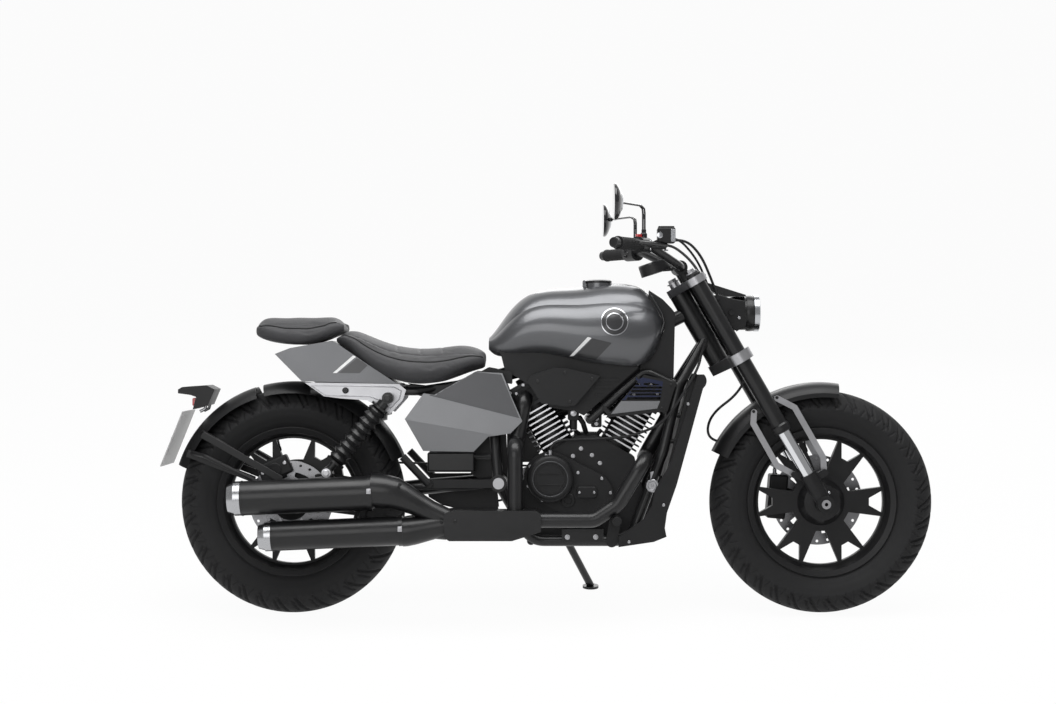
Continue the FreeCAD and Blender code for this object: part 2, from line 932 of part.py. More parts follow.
def strap(points, width, low_y, high_y):
    """A flat strap with round ends through points of X and Z, across a range of Y."""
    pieces = []
    for place in points:
        pieces.append(cross_rod(place[0], place[1], low_y, high_y, width / 2))
    for start, end in zip(points, points[1:]):
        run = Vector(end[0] - start[0], 0, end[1] - start[1])
        side = run.cross(ALONG_Y).normalize() * (width / 2)
        corners = [
            (start[0] + side.x, start[1] + side.z),
            (end[0] + side.x, end[1] + side.z),
            (end[0] - side.x, end[1] - side.z),
            (start[0] - side.x, start[1] - side.z),
        ]
        pieces.append(side_prism(corners, low_y, high_y))
    return joined(pieces)


def polar(radius, angle):
    """A place of X and Z, from a radius and an angle up from straight ahead."""
    return (radius * math.cos(math.radians(angle)), radius * math.sin(math.radians(angle)))


STAY_PATH_SHARES = (
    ((1.0, 114), (0.873, 107), (0.40, 91), (0.27, 90)),
    ((1.0, 127.5), (0.93, 131.5), (0.53, 141), (0.36, 136)),
)
stay_edge = fender_inner - size.fender_side_depth / 4
stay_parts = []
for path in STAY_PATH_SHARES:
    route = [polar(share * stay_edge, angle) for share, angle in path]
    stay_parts.append(strap(route, size.stay_width, stay_y, stay_y + size.stay_thickness))
solid_feature("fender_stays", both_sides(Part.makeCompound(stay_parts)), FRONT_WHEEL)

# Axle carriers: a turned foot on each leg, an eye for the axle and two lugs for the stays
carrier_profile = [
    (0, -size.axle_radius),
    (size.carrier_radius * 4 / 5, -size.axle_radius),
    (size.carrier_radius, size.stanchion_bottom / 2),
    (size.carrier_radius, size.stanchion_bottom),
    (outer_bore, size.stanchion_bottom),
    (outer_bore, stanchion_foot - size.fit_gap),
    (0, stanchion_foot - size.fit_gap),
]
lug_low = stay_y + size.stay_thickness + size.fit_gap
lugs = []
for path in STAY_PATH_SHARES:
    foot = polar(path[-1][0] * stay_edge, path[-1][1])
    leg_place = fork_place(0, size.stanchion_bottom * 4 / 5) - front_axle
    lug = strap([foot, (leg_place.x, leg_place.z)], size.stay_lug_width, lug_low, leg_half)
    lug.rotate(Vector(0, 0, 0), ALONG_Y, size.rake_angle)
    lugs.append(lug)
tube_space = Part.makeCylinder(outer_bore, size.fork_outer_top, Vector(0, leg_half, stanchion_foot))
bracket_reach = size.front_disc_radius - size.caliper_height * 3 / 4 - size.fit_gap
caliper_arm = Part.makeBox(
    size.caliper_length / 2,
    size.rim_wall * 3 / 2,
    bracket_reach,
    Vector(-size.caliper_length / 4, leg_half - size.carrier_radius, 0),
)
caliper_arm.rotate(Vector(0, 0, 0), ALONG_Y, size.rake_angle - size.front_caliper_angle)
carrier = two_legs(carrier_profile)[1].multiFuse(
    [lug.cut(tube_space) for lug in lugs]
    + [cross_rod(0, 0, leg_half - size.carrier_radius, leg_half + size.carrier_radius, size.carrier_radius)]
)
axle_room = cross_rod(0, 0, -size.leg_spacing, size.leg_spacing, size.axle_radius + size.fit_gap)
left_carrier = carrier.fuse(caliper_arm).cut(axle_room)
right_carrier = mirrored(carrier).cut(axle_room)
solid_feature("axle_carriers", Part.makeCompound([left_carrier, right_carrier]), FORK)

# Headlamp: a bucket turned round its own level axis, a rim and a lens, in the upright machine's axes
lamp_centre = Vector(size.lamp_front_x, 0, size.lamp_height)


def turned_along_x(points, centre):
    """An outline of distance back from a centre and radius, turned round a level axis."""
    wire = Part.Wire([curve.toShape() for curve in curves([(-p[0], p[1]) + tuple(p[2:]) for p in points])])
    wire.Placement = Placement(Vector(0, 0, 0), SIDE_VIEW)
    turned = Part.Face(wire).revolve(Vector(0, 0, 0), ALONG_X, 360)
    turned.translate(centre)
    return turned


lamp = size.lamp_radius
rim_back = size.lamp_rim_width * 2
wall = size.rim_wall / 2
lens_room = lamp * 7 / 8
bucket_outline = [
    (rim_back, 0),
    (rim_back, lens_room),
    (size.lamp_rim_width / 2, lens_room),
    (size.lamp_rim_width / 2, lamp - wall),
    (size.lamp_rim_width, lamp, "arc"),
    (rim_back, lamp),
    (rim_back, lamp - wall),
    (size.lamp_depth / 2, lamp - wall),
    (size.lamp_depth * 5 / 6, lamp * 3 / 4, "arc"),
    (size.lamp_depth, lamp * 2 / 5),
    (size.lamp_depth, 0),
]
solid_feature("headlamp", turned_along_x(bucket_outline, lamp_centre), LEAN)
lens_edge = lens_room - size.fit_gap
lens_bulge = size.lamp_rim_width * 2 / 3
lens_ball = (lens_edge ** 2 + lens_bulge ** 2) / (2 * lens_bulge)
lens_outline = [
    (0, 0),
    (lens_ball - math.sqrt(lens_ball ** 2 - lens_edge ** 2 / 4), lens_edge / 2, "arc"),
    (lens_bulge, lens_edge),
    (rim_back - size.fit_gap, lens_edge),
    (rim_back - size.fit_gap, 0),
]
solid_feature("headlamp_lens", turned_along_x(lens_outline, lamp_centre), LEAN)

# Headlamp bracket: a plate from the top clamp, bent down over the lamp
bracket_half = size.lamp_bracket_width / 2
clamp_face = size.fit_gap - (clamp_boss - size.clamp_wall / 3) / 4
leaf = size.lamp_bracket_thickness
bracket_front = size.lamp_front_x - rim_back - leaf
bracket_low = size.lamp_height + lamp - wall + size.fit_gap
bracket_foot = [
    fork_place(clamp_face, top_clamp_bottom),
    fork_place(clamp_face, top_clamp_top),
    fork_place(clamp_face + leaf, top_clamp_top),
    fork_place(clamp_face + 4 * leaf, size.top_clamp_height),
]
bracket_outline = [(place.x, place.z) for place in bracket_foot] + [
    (bracket_front, bracket_low + leaf),
    (bracket_front, bracket_low),
    (size.lamp_front_x - size.lamp_depth * 4 / 5, bracket_low),
]
solid_feature("headlamp_bracket", side_prism(bracket_outline, -bracket_half, bracket_half), LEAN)

# Handlebar: one tube from grip to grip, held in a riser on the top clamp
bar_centre = fork_place(-size.bar_clamp_forward, top_clamp_top + size.riser_height)
grip_run = size.grip_length + size.switch_length
bar_end = bar_centre + Vector(-size.bar_pull_back, size.bar_half_width, size.bar_rise)
sweep = math.radians(size.grip_sweep)
grip_way = Vector(math.sin(sweep), -math.cos(sweep), 0)
grip_start = bar_end + grip_way * (size.bar_end_length + grip_run + size.switch_length / 2)
bar_knee = bar_centre + Vector(0, size.riser_spacing, 0)
half_bar = [bar_centre, bar_knee, grip_start, bar_end]
bar_half_shape = tube(half_bar, size.bar_radius, size.bar_bend_radius)
handlebar = bar_half_shape.fuse(mirrored(bar_half_shape))

# Riser: two posts and a clamp round the middle of the bar
post_top = size.riser_height
posts = []
for side in (-1, 1):
    foot = Vector(-size.bar_clamp_forward, side * size.riser_spacing / 2, top_clamp_top + size.fit_gap)
    posts.append(Part.makeCylinder(size.riser_radius, post_top, foot))
ring_radius = size.bar_radius + size.clamp_wall * 2 / 3
ring_half = size.riser_spacing / 2 + size.riser_radius * 4 / 3
ring = cross_rod(-size.bar_clamp_forward, top_clamp_top + size.riser_height, -ring_half, ring_half, ring_radius)
riser = joined(posts + [ring])
bar_space = cross_rod(
    -size.bar_clamp_forward,
    top_clamp_top + size.riser_height,
    -2 * ring_half,
    2 * ring_half,
    size.bar_radius + size.fit_gap,
)
solid_feature("bar_riser", riser.cut(bar_space), FORK)


def along_grip(start_share, end_share, radius):
    """A round piece along the right grip's line, from the bar's end inward."""
    right_end = Vector(bar_end.x, -bar_end.y, bar_end.z)
    way = Vector(grip_way.x, -grip_way.y, grip_way.z)
    return rod(right_end + way * start_share, right_end + way * end_share, radius)


grip_end = size.bar_end_length + size.grip_length
bar_hole = along_grip(-size.overrun, grip_run * 2, size.bar_radius + size.fit_gap)
grip = along_grip(size.bar_end_length, grip_end, size.grip_radius).cut(bar_hole)
solid_feature("grips", both_sides(grip), LEAN)
weight = along_grip(0, size.bar_end_length - size.fit_gap, size.bar_end_radius)
solid_feature("handlebar", joined([handlebar, weight, mirrored(weight)]), LEAN)

# Switch housings with levers, and the brake reservoir on the right
switch_end = grip_end + size.switch_length
housing = along_grip(grip_end + size.fit_gap, switch_end, size.switch_radius).cut(bar_hole)
housing_middle = along_grip(grip_end + size.switch_length / 2, switch_end, size.switch_radius).CenterOfMass
perch_place = housing_middle + Vector(size.lever_reach, 0, 0)
perch = rod(housing_middle + Vector(size.switch_radius / 2, 0, 0), perch_place, size.switch_radius / 2)
lever_way = Vector(-grip_way.x, grip_way.y, 0)
lever_tip = perch_place + lever_way * size.lever_length
lever = rod(perch_place, lever_tip, size.lever_radius)
lever_ball = Part.makeSphere(size.lever_radius * 4 / 3, lever_tip)
control = joined([housing, perch.cut(bar_hole), lever, lever_ball])
reservoir = Part.makeBox(
    size.reservoir_length,
    size.reservoir_width,
    size.reservoir_height,
    perch_place + Vector(-size.reservoir_length / 2, -size.reservoir_width / 2, size.switch_radius / 4),
)
reservoir = reservoir.makeFillet(size.rim_wall, reservoir.Edges)
solid_feature("bar_controls", Part.makeCompound([control.fuse(reservoir), mirrored(control)]), LEAN)

# Mirrors: a shallow shell on a stem from each switch housing
mirror_centre = Vector(
    bar_end.x + size.mirror_depth / 2,
    -size.bar_half_width,
    size.mirror_centre_height,
)
mirror_box = Part.makeBox(
    size.mirror_depth,
    size.mirror_width,
    size.mirror_height,
    mirror_centre - Vector(size.mirror_depth / 2, size.mirror_width / 2, size.mirror_height / 2),
)
mirror_shell = mirror_box.makeFillet(size.mirror_depth * 2 / 5, mirror_box.Edges)
stem_foot = housing_middle + Vector(0, 0, size.switch_radius * 4 / 5)
stem_top = mirror_centre + Vector(size.mirror_depth / 3, size.mirror_width / 4, 0)
stem_knee = Vector(stem_foot.x, stem_foot.y, stem_top.z)
mirror_stem = tube([stem_foot, stem_knee, stem_top], size.mirror_stem_radius, size.mirror_height / 5)
mirror = mirror_shell.fuse(mirror_stem).cut(joined([housing, bar_hole]))
solid_feature("mirrors", both_sides(mirror), LEAN)

# Main frame: a head tube, a backbone, two loops round the engine and two seat rails
head_low = lower_clamp_top + size.fit_gap
head_high = top_clamp_bottom - size.fit_gap
head_axis = (fork_place(stem_x, head_high) - fork_place(stem_x, head_low)).normalize()
pivot = Vector(-size.pivot_back, 0, size.pivot_height)
rail_y = size.cradle_half_width
pivot_y = size.pivot_half_width


def head_point(height):
    """A place on the steering axis, from its height along the fork."""
    return fork_place(stem_x, height)


head_tube = rod(head_point(head_low), head_point(head_high), size.head_radius)
head_bore = rod(
    head_point(head_low - size.overrun),
    head_point(head_high + size.overrun),
    size.stem_radius + size.fit_gap,
)
backbone_rear = Vector(-size.backbone_rear_back, 0, size.backbone_rear_height)
backbone = tube(
    [
        head_point(head_high - size.head_radius * 2),
        Vector(size.backbone_bend_x, 0, size.backbone_bend_height),
        backbone_rear,
    ],
    size.backbone_radius,
    size.frame_bend_radius * 2,
)
loop_path = [
    head_point(head_low + size.head_radius * 5 / 2) + Vector(0, size.head_radius / 2, 0),
    Vector(size.down_tube_x, rail_y * 3 / 4, size.down_tube_height),
    Vector(size.down_tube_knee_x, rail_y, size.down_tube_knee_height),
    Vector(size.cradle_front_x, rail_y, size.cradle_height),
    Vector(-size.cradle_rear_back, rail_y, size.cradle_height),
    pivot + Vector(0, pivot_y, 0),
    pivot + Vector(-size.pivot_lug_radius / 2, size.loop_waist_half_width, size.loop_waist_rise),
    Vector(backbone_rear.x, rail_y / 2, backbone_rear.z),
]
loop = tube(loop_path, size.frame_tube_radius, size.frame_bend_radius)
rail_path = [
    Vector(backbone_rear.x + size.backbone_radius, size.backbone_radius, backbone_rear.z),
    Vector(-size.seat_rail_knee_back, size.seat_rail_half_width, size.seat_rail_height),
    Vector(-size.seat_rail_end_back, size.seat_rail_half_width, size.seat_rail_height),
]
seat_rail = tube(rail_path, size.seat_rail_radius, size.frame_bend_radius)
pivot_lug = cross_rod(
    pivot.x,
    pivot.z,
    size.swingarm_front_half + size.fit_gap,
    pivot_y + size.frame_tube_radius,
    size.pivot_lug_radius,
)
pivot_bore = cross_rod(
    pivot.x,
    pivot.z,
    -pivot_y * 2,
    pivot_y * 2,
    size.axle_radius + size.fit_gap,
)
cross_tubes = [
    cross_rod(place_x, place_z, -rail_y, rail_y, size.seat_rail_radius)
    for place_x, place_z in (
        (size.cradle_front_x / 2, size.cradle_height),
        (-size.cradle_rear_back, size.cradle_height),
    )
]
seat_cross = cross_rod(
    -size.seat_rail_knee_back,
    size.seat_rail_height,
    -size.seat_rail_half_width,
    size.seat_rail_half_width,
    size.seat_rail_radius,
)
# Side stand's pivot: a boss on the left loop and a headed pin, on an axis that folds the leg beside the frame
stand_pivot = Vector(size.stand_pivot_x, rail_y + size.frame_tube_radius + size.stand_reach, size.cradle_height)
stand_foot = Vector(
    size.stand_pivot_x + size.stand_forward,
    size.stand_foot_offset,
    floor_height(size.stand_foot_offset),
)
STAND_FOLDED_SHARES = (-0.975, 0.10, -0.20)
stand_down = (stand_foot - stand_pivot).normalize()
stand_turned = stand_down - Vector(*STAND_FOLDED_SHARES).normalize()
stand_axis = (ALONG_Y - stand_turned * (stand_turned.y / stand_turned.dot(stand_turned))).normalize()
stand_eye_half = size.stand_eye_width / 2
stand_head_radius = size.stand_pin_radius * 5 / 3


def along_stand_pin(start, end, radius):
    """A round piece on the stand's pivot axis, between two distances from its eye's middle."""
    return rod(stand_pivot + stand_axis * start, stand_pivot + stand_axis * end, radius)


stand_root = -(size.stand_reach + size.frame_tube_radius) / stand_axis.y
stand_holder = [
    along_stand_pin(stand_root, -stand_eye_half - size.fit_gap, size.stand_eye_radius),
    along_stand_pin(-size.stand_reach, stand_eye_half + size.axle_head, size.stand_pin_radius),
    along_stand_pin(stand_eye_half + size.fit_gap, stand_eye_half + size.axle_head, stand_head_radius),
]
# Braces from the down tubes back into the vee, with a cross tube between their feet
brace_path = [
    loop_path[1],
    Vector(size.brace_knee_x, size.brace_half_width, size.brace_knee_height),
    Vector(size.brace_foot_x, size.brace_half_width, size.brace_foot_height),
]
brace_bend = size.frame_bend_radius / 2
brace = tube(brace_path, size.seat_rail_radius, brace_bend)
brace_cross = cross_rod(
    size.brace_foot_x,
    size.brace_foot_height,
    -size.brace_half_width,
    size.brace_half_width,
    size.seat_rail_radius,
)
# Mounting plate on the right cradle tube
tube_side = rail_y + size.frame_tube_radius
cradle_plate = Part.makeBox(
    size.cradle_plate_length,
    size.rim_wall + 1 / 2,
    size.cradle_plate_height,
    Vector(size.cradle_plate_rear_x, -tube_side - size.rim_wall, size.cradle_height),
)
# Battery tray behind the engine, held to both loops above the belt
tray = Part.makeBox(
    size.tray_length,
    size.tray_right + size.tray_left,
    size.tray_height,
    Vector(-size.tray_front_back - size.tray_length, -size.tray_right, size.tray_bottom),
)
tray = tray.makeFillet(size.rim_wall, tray.Edges)
TRAY_STAY_SHARE = 0.57
loop_place = loop_path[5] + (loop_path[6] - loop_path[5]) * TRAY_STAY_SHARE
tray_stays = []
for side, end in ((1, size.tray_left), (-1, size.tray_right)):
    outer = Vector(loop_place.x, side * loop_place.y, loop_place.z)
    inner = Vector(-size.tray_front_back - size.rim_wall, side * (end - size.seat_rail_radius), loop_place.z)
    tray_stays.append(rod(outer, inner, size.seat_rail_radius * 2 / 3))
side_tubes = [loop, seat_rail, pivot_lug, brace]
frame = joined(
    [head_tube, backbone, seat_cross, brace_cross, cradle_plate, tray]
    + cross_tubes
    + tray_stays
    + side_tubes
    + [mirrored(shape) for shape in side_tubes]
    + stand_holder
)
loop_room = tube(loop_path, size.frame_tube_radius + size.fit_gap, size.frame_bend_radius)
brace_room = tube(brace_path, size.seat_rail_radius + size.fit_gap, brace_bend)
solid_feature("main_frame", frame.cut(head_bore).cut(pivot_bore), LEAN)

# Swingarm: a pivot tube and two arms, with an eye for the axle and a lug for each shock absorber
arm_y = size.arm_half_width
eye_radius = size.axle_radius + size.hub_wall
pivot_tube = cross_rod(
    pivot.x,
    pivot.z,
    -size.swingarm_front_half,
    size.swingarm_front_half,
    size.pivot_lug_radius,
)
arm = tube(
    [
        pivot + Vector(-size.pivot_lug_radius / 2, size.swingarm_front_half * 2 / 3, 0),
        Vector(pivot.x - size.arm_knee_back, arm_y, pivot.z - size.arm_knee_drop),
        rear_axle + Vector(0, arm_y, 0),
    ],
    size.arm_radius,
    size.frame_bend_radius,
)
axle_eye = cross_rod(rear_axle.x, rear_axle.z, arm_y - size.arm_radius, arm_y + size.arm_radius, eye_radius)
shock_low = Vector(-size.shock_low_back, size.shock_half_width, size.shock_low_height)
shock_top = Vector(-size.shock_top_back, size.shock_half_width, size.seat_rail_height - size.shock_under_rail)
shock_eye_half = size.shock_eye_width / 2
shock_lug = strap(
    [
        (shock_low.x, shock_low.z),
        (shock_low.x + size.arm_radius, rear_axle.z + size.arm_radius),
    ],
    size.shock_eye_radius * 2,
    arm_y - size.arm_radius / 2,
    size.shock_half_width - shock_eye_half - size.fit_gap,
)
shock_pin = cross_rod(
    shock_low.x,
    shock_low.z,
    arm_y,
    size.shock_half_width + shock_eye_half + size.axle_head,
    size.shock_pin_radius,
)
swing_side = [arm, axle_eye, shock_lug, shock_pin]
swing = joined([pivot_tube] + swing_side + [mirrored(shape) for shape in swing_side])
axle_space = cross_rod(rear_axle.x, rear_axle.z, -arm_y * 2, arm_y * 2, size.axle_radius + size.fit_gap)
solid_feature("swingarm", swing.cut(pivot_bore).cut(axle_space), LEAN)

# Rear axle with a spacer on each side of the wheel
rear_hub_half = size.rear_hub_width / 2
arm_inner = arm_y - size.arm_radius
rear_axle_half = arm_y + size.arm_radius + size.fit_gap
spacer_radius = size.axle_radius + size.rim_wall
rear_axle_parts = [
    cross_rod(0, 0, -rear_axle_half, rear_axle_half, size.axle_radius),
    cross_rod(0, 0, -arm_inner + size.fit_gap, -rear_hub_half - size.fit_gap, spacer_radius),
    cross_rod(0, 0, size.pulley_offset + size.belt_width + size.fit_gap * 2, arm_inner - size.fit_gap, spacer_radius),
    cross_rod(0, 0, -rear_axle_half - size.axle_head, -rear_axle_half, spacer_radius),
    cross_rod(0, 0, rear_axle_half, rear_axle_half + size.axle_head, spacer_radius),
]
rear_axle_bore = cross_rod(0, 0, -arm_y * 2, arm_y * 2, size.axle_bore_radius)
solid_feature("rear_axle", joined(rear_axle_parts).cut(rear_axle_bore), REAR_WHEEL)
pivot_half = pivot_y + size.frame_tube_radius + size.fit_gap
pivot_shaft = joined(
    [
        cross_rod(pivot.x, pivot.z, -pivot_half, pivot_half, size.axle_radius),
        cross_rod(pivot.x, pivot.z, -pivot_half - size.axle_head, -pivot_half, spacer_radius),
        cross_rod(pivot.x, pivot.z, pivot_half, pivot_half + size.axle_head, spacer_radius),
    ]
)
solid_feature("swingarm_pivot", pivot_shaft, LEAN)

# Shock absorbers: a damper between two eyes, and the spring round it as stacked rings
shock_way = shock_top - shock_low
shock_length = shock_way.Length


def along_shock(start, end, radius, cone_radius=None):
    """A round piece on the shock absorber's axis, between two distances from its lower eye."""
    way = shock_way / shock_length
    if cone_radius is None:
        return rod(shock_low + way * start, shock_low + way * end, radius)
    return Part.makeCone(radius, cone_radius, end - start, shock_low + way * start, way)


spring_low = size.shock_spring_start
spring_high = shock_length - size.shock_spring_end
eyes = [
    cross_rod(
        place.x,
        place.z,
        size.shock_half_width - shock_eye_half,
        size.shock_half_width + shock_eye_half,
        size.shock_eye_radius,
    )
    for place in (shock_low, shock_top)
]
spring_radius = size.spring_radius
damper = [
    along_shock(0, shock_length, size.shock_body_radius),
    along_shock(spring_low - size.axle_head, spring_low, spring_radius),
    along_shock(spring_high, spring_high + size.axle_head, spring_radius),
    along_shock(spring_high + size.axle_head, shock_length - size.shock_eye_radius, size.shock_body_radius * 3 / 2),
]
coil_pitch = (spring_high - spring_low) / size.spring_turns
coils = []
for turn in range(int(size.spring_turns)):
    low = spring_low + turn * coil_pitch
    middle = low + coil_pitch / 2
    inner = spring_radius - size.spring_wire
    coils.append(along_shock(low, middle, inner, spring_radius))
    coils.append(along_shock(middle, low + coil_pitch, spring_radius, inner))
pin_holes = [
    cross_rod(place.x, place.z, 0, size.shock_half_width * 2, size.shock_pin_radius + size.fit_gap)
    for place in (shock_low, shock_top)
]
shock = joined(eyes + damper + coils).cut(joined(pin_holes))
solid_feature("shock_absorbers", both_sides(shock), LEAN)

# Drive belt on the left, the rear pulley in it, and the output pulley inside its front bend
pulley_radius = size.rear_pulley_radius
front_pulley = Vector(-size.output_back, 0, size.output_height)


def belt_loop(extra):
    """Outline of a belt round both pulleys, at a distance outside them."""
    gap = front_pulley - rear_axle
    level = math.atan2(gap.z, gap.x)
    lead = math.acos((pulley_radius - size.front_pulley_radius) / gap.Length)
    points = []
    for centre_place, radius, angles in (
        (rear_axle, pulley_radius + extra, (level + lead, level + math.pi, level - lead)),
        (front_pulley, size.front_pulley_radius + extra, (level - lead, level, level + lead)),
    ):
        for place, angle in enumerate(angles):
            point = (
                centre_place.x + radius * math.cos(angle),
                centre_place.z + radius * math.sin(angle),
            )
            points.append(point + (("arc",) if place == 1 else ()))
    return points


belt_low = size.pulley_offset
belt_high = size.pulley_offset + size.belt_width
belt_outer = side_prism(belt_loop(size.fit_gap + size.belt_thickness), belt_low, belt_high)
belt_inner = side_prism(belt_loop(size.fit_gap), belt_low - size.overrun, belt_high + size.overrun)
solid_feature("drive_belt", belt_outer.cut(belt_inner), LEAN)
hub_touch = rear_hub_half + size.fit_gap
pulley_outline = [
    (size.axle_radius + size.fit_gap, hub_touch),
    (size.hub_radius, hub_touch),
    (size.hub_radius, belt_low + size.belt_width / 4),
    (pulley_radius - size.belt_width / 2, belt_low + size.belt_width / 4),
    (pulley_radius - size.belt_width / 2, belt_low),
    (pulley_radius, belt_low),
    (pulley_radius, belt_high),
    (pulley_radius - size.belt_width / 2, belt_high),
    (pulley_radius - size.belt_width / 2, belt_high - size.belt_width / 4),
    (size.hub_radius * 2 / 3, belt_high - size.belt_width / 4),
    (size.hub_radius / 2, belt_high),
    (size.axle_radius + size.fit_gap, belt_high),
]
revolved_body("rear_pulley", REAR_WHEEL, pulley_outline)

# Output pulley on its shaft stub, against the crankcase
case_half = size.crankcase_half_width
output_parts = [
    cross_rod(front_pulley.x, front_pulley.z, belt_low, belt_high, size.front_pulley_radius),
    cross_rod(front_pulley.x, front_pulley.z, case_half + size.fit_gap, belt_high + size.axle_head, spacer_radius),
]
solid_feature("front_pulley", joined(output_parts), LEAN)

# Engine: one plain crankcase block, two finned cylinders in a vee, and the side covers
crank = Vector(size.crank_x, 0, size.crank_height)
vee = math.radians(size.vee_half_angle)


def cylinder_place(out, aside, side):
    """A place of X and Z at a distance up a cylinder and aside from its axis."""
    along = Vector(side * math.sin(vee), 0, math.cos(vee))
    across = Vector(side * math.cos(vee), 0, -math.sin(vee))
    place = crank + along * out + across * aside
    return (place.x, place.z)


CASE_SHARES = ((-1.0, -0.02), (-0.92, -0.74), (-0.7, -0.95), (0.28, -1.0), (0.62, -0.8), (0.78, -0.2))
base_half = size.cylinder_half_width
case_length = size.crank_x - pivot.x - size.pivot_lug_radius - 2 * size.overrun
case_depth = size.crank_height - size.cradle_height - size.seat_rail_radius - size.fit_gap
case_points = [
    cylinder_place(size.cylinder_base, base_half, 1),
    cylinder_place(size.cylinder_base, -base_half, 1),
    cylinder_place(size.cylinder_base, -base_half, -1),
    cylinder_place(size.cylinder_base, base_half, -1),
] + spread(CASE_SHARES, crank.x, crank.z, case_length, case_depth)
padded_body("crankcase", LEAN, case_points, "2 * crankcase_half_width", middle=True)


def build_cylinder(label, side):
    """A barrel with a stack of square cooling fins, and the cylinder head on it."""
    place = LEAN.multiply(Placement(crank, Rotation(ALONG_Y, side * size.vee_half_angle)))
    body = doc.addObject("PartDesign::Body", label)
    barrel = new_sketch(body, "XY_Plane", circles=[(0, 0, "barrel_radius")])
    bind(barrel, **{"AttachmentOffset.Base.z": "cylinder_base + fit_gap"})
    barrel_pad = body.newObject("PartDesign::Pad", "Barrel")
    barrel_pad.Profile = barrel
    bind(barrel_pad, Length="head_block_top - cylinder_base - fit_gap")
    fin = new_sketch(body, "XY_Plane", fin_plan(size.cylinder_half_width, size.fin_corner))
    bind(fin, **{"AttachmentOffset.Base.z": "fin_first"})
    fin_pad = body.newObject("PartDesign::Pad", "Fin")
    fin_pad.Profile = fin
    bind(fin_pad, Length="fin_thickness")
    stack = body.newObject("PartDesign::LinearPattern", "Fins")
    stack.Originals = [fin_pad]
    axis = [item for item in body.Origin.OriginFeatures if item.Role == "Z_Axis"][0]
    stack.Direction = (axis, [""])
    bind(stack, Length="fin_pitch * (fin_count - 1)", Occurrences="fin_count")
    body.Tip = stack
    head = new_sketch(body, "XY_Plane", fin_plan(size.head_block_half, size.fin_corner))
    bind(head, **{"AttachmentOffset.Base.z": "cylinder_top"})
    head_pad = body.newObject("PartDesign::Pad", "Head")
    head_pad.Profile = head
    bind(head_pad, Length="head_block_top - cylinder_top")
    body.Tip = head_pad
    return keep(body, label, place)


def fin_plan(half, corner):
    """A square with cut corners."""
    edge = half - corner
    return [
        (half, -edge),
        (half, edge),
        (edge, half),
        (-edge, half),
        (-half, edge),
        (-half, -edge),
        (-edge, -half),
        (edge, -half),
    ]


build_cylinder("front_cylinder", 1)
build_cylinder("rear_cylinder", -1)

# Clutch cover: a flange, a rim and a sunk face, turned round the clutch's own axis
clutch_start = case_half + size.fit_gap
clutch_end = clutch_start + size.clutch_cover_width
clutch_outline = [
    (0, -clutch_start),
    (size.clutch_radius, -clutch_start),
    (size.clutch_radius, -clutch_end + size.hub_wall),
    ((size.clutch_radius + size.clutch_rim_radius) / 2 + size.rim_wall / 2, -clutch_end + size.rim_wall / 2, "arc"),
    (size.clutch_rim_radius, -clutch_end),
    (size.clutch_rim_radius - size.rim_wall, -clutch_end),
    (size.clutch_rim_radius - size.rim_wall, -clutch_end + size.rim_wall / 2),
    (0, -clutch_end + size.rim_wall / 2),
]

# Right cover of the crankcase: a plate from the crank round the clutch, and the clutch's own cover
primary = strap(
    [(size.clutch_x, size.clutch_height), (crank.x, crank.z)],
    size.clutch_radius * 2 + size.hub_wall,
    -clutch_start - size.primary_cover_width,
    -clutch_start,
)
clutch_wire = Part.Wire([curve.toShape() for curve in curves(clutch_outline)])
clutch = Part.Face(clutch_wire).revolve(Vector(0, 0, 0), ALONG_Y, 360)
clutch.translate(Vector(size.clutch_x, 0, size.clutch_height))
solid_feature("clutch_cover", primary.fuse(clutch), LEAN)

# Left engine cover: the alternator cover and the output pulley's cover in one casting
starter_x = front_pulley.x + size.front_pulley_radius + size.belt_thickness + size.starter_radius + size.overrun
left_cover = joined(
    [
        cross_rod(
            crank.x,
            crank.z,
            clutch_start,
            clutch_start + size.alternator_cover_width,
            size.alternator_radius,
        ),
        cross_rod(
            starter_x,
            front_pulley.z,
            clutch_start,
            clutch_start + size.alternator_cover_width / 2,
            size.starter_radius,
        ),
    ]
)
solid_feature("left_engine_cover", left_cover, LEAN)

# Radiator: a core between two tanks, tilted in front of the down tubes
RADIATOR_TAB_SHARES = (0.14, 0.62)
RADIATOR_STAY_SHARES = (0.45, 0.85)
tilt = Rotation(ALONG_Y, size.radiator_tilt)
radiator_top = size.down_tube_height + size.radiator_over_tube
radiator_place = Placement(Vector(size.radiator_top_x, 0, radiator_top), tilt)
core_half = size.radiator_width / 2
tank_width = size.radiator_width / 8
core = Part.makeBox(
    size.radiator_thickness * 3 / 4,
    size.radiator_width - tank_width,
    size.radiator_length,
    Vector(-size.radiator_thickness * 7 / 8, -core_half + tank_width / 2, -size.radiator_length),
)
side_tanks = [
    Part.makeBox(
        size.radiator_thickness,
        tank_width,
        size.radiator_length,
        Vector(-size.radiator_thickness, low, -size.radiator_length),
    )
    for low in (-core_half, core_half - tank_width)
]
tab_length = size.radiator_thickness / 2
tabs = [
    Part.makeBox(
        tab_length,
        2 * (size.shroud_half_width - size.fit_gap),
        tab_length,
        Vector(-tab_length, size.fit_gap - size.shroud_half_width, -drop * size.radiator_length),
    )
    for drop in RADIATOR_TAB_SHARES
]
radiator = joined([core] + side_tanks + tabs)
radiator.Placement = radiator_place
radiator_slope = math.tan(math.radians(size.radiator_tilt))
stays = []
for share in RADIATOR_STAY_SHARES:
    tube_place = loop_path[1] + (loop_path[2] - loop_path[1]) * share
    drop = radiator_top - tube_place.z
    core_x = size.radiator_top_x - drop * radiator_slope - size.radiator_thickness / 2
    core_place = Vector(core_x, tube_place.y, tube_place.z)
    stay = rod(tube_place, core_place, size.rim_wall).cut(loop_room)
    stays += [stay, mirrored(stay)]
solid_feature("radiator", joined([radiator] + stays), LEAN)

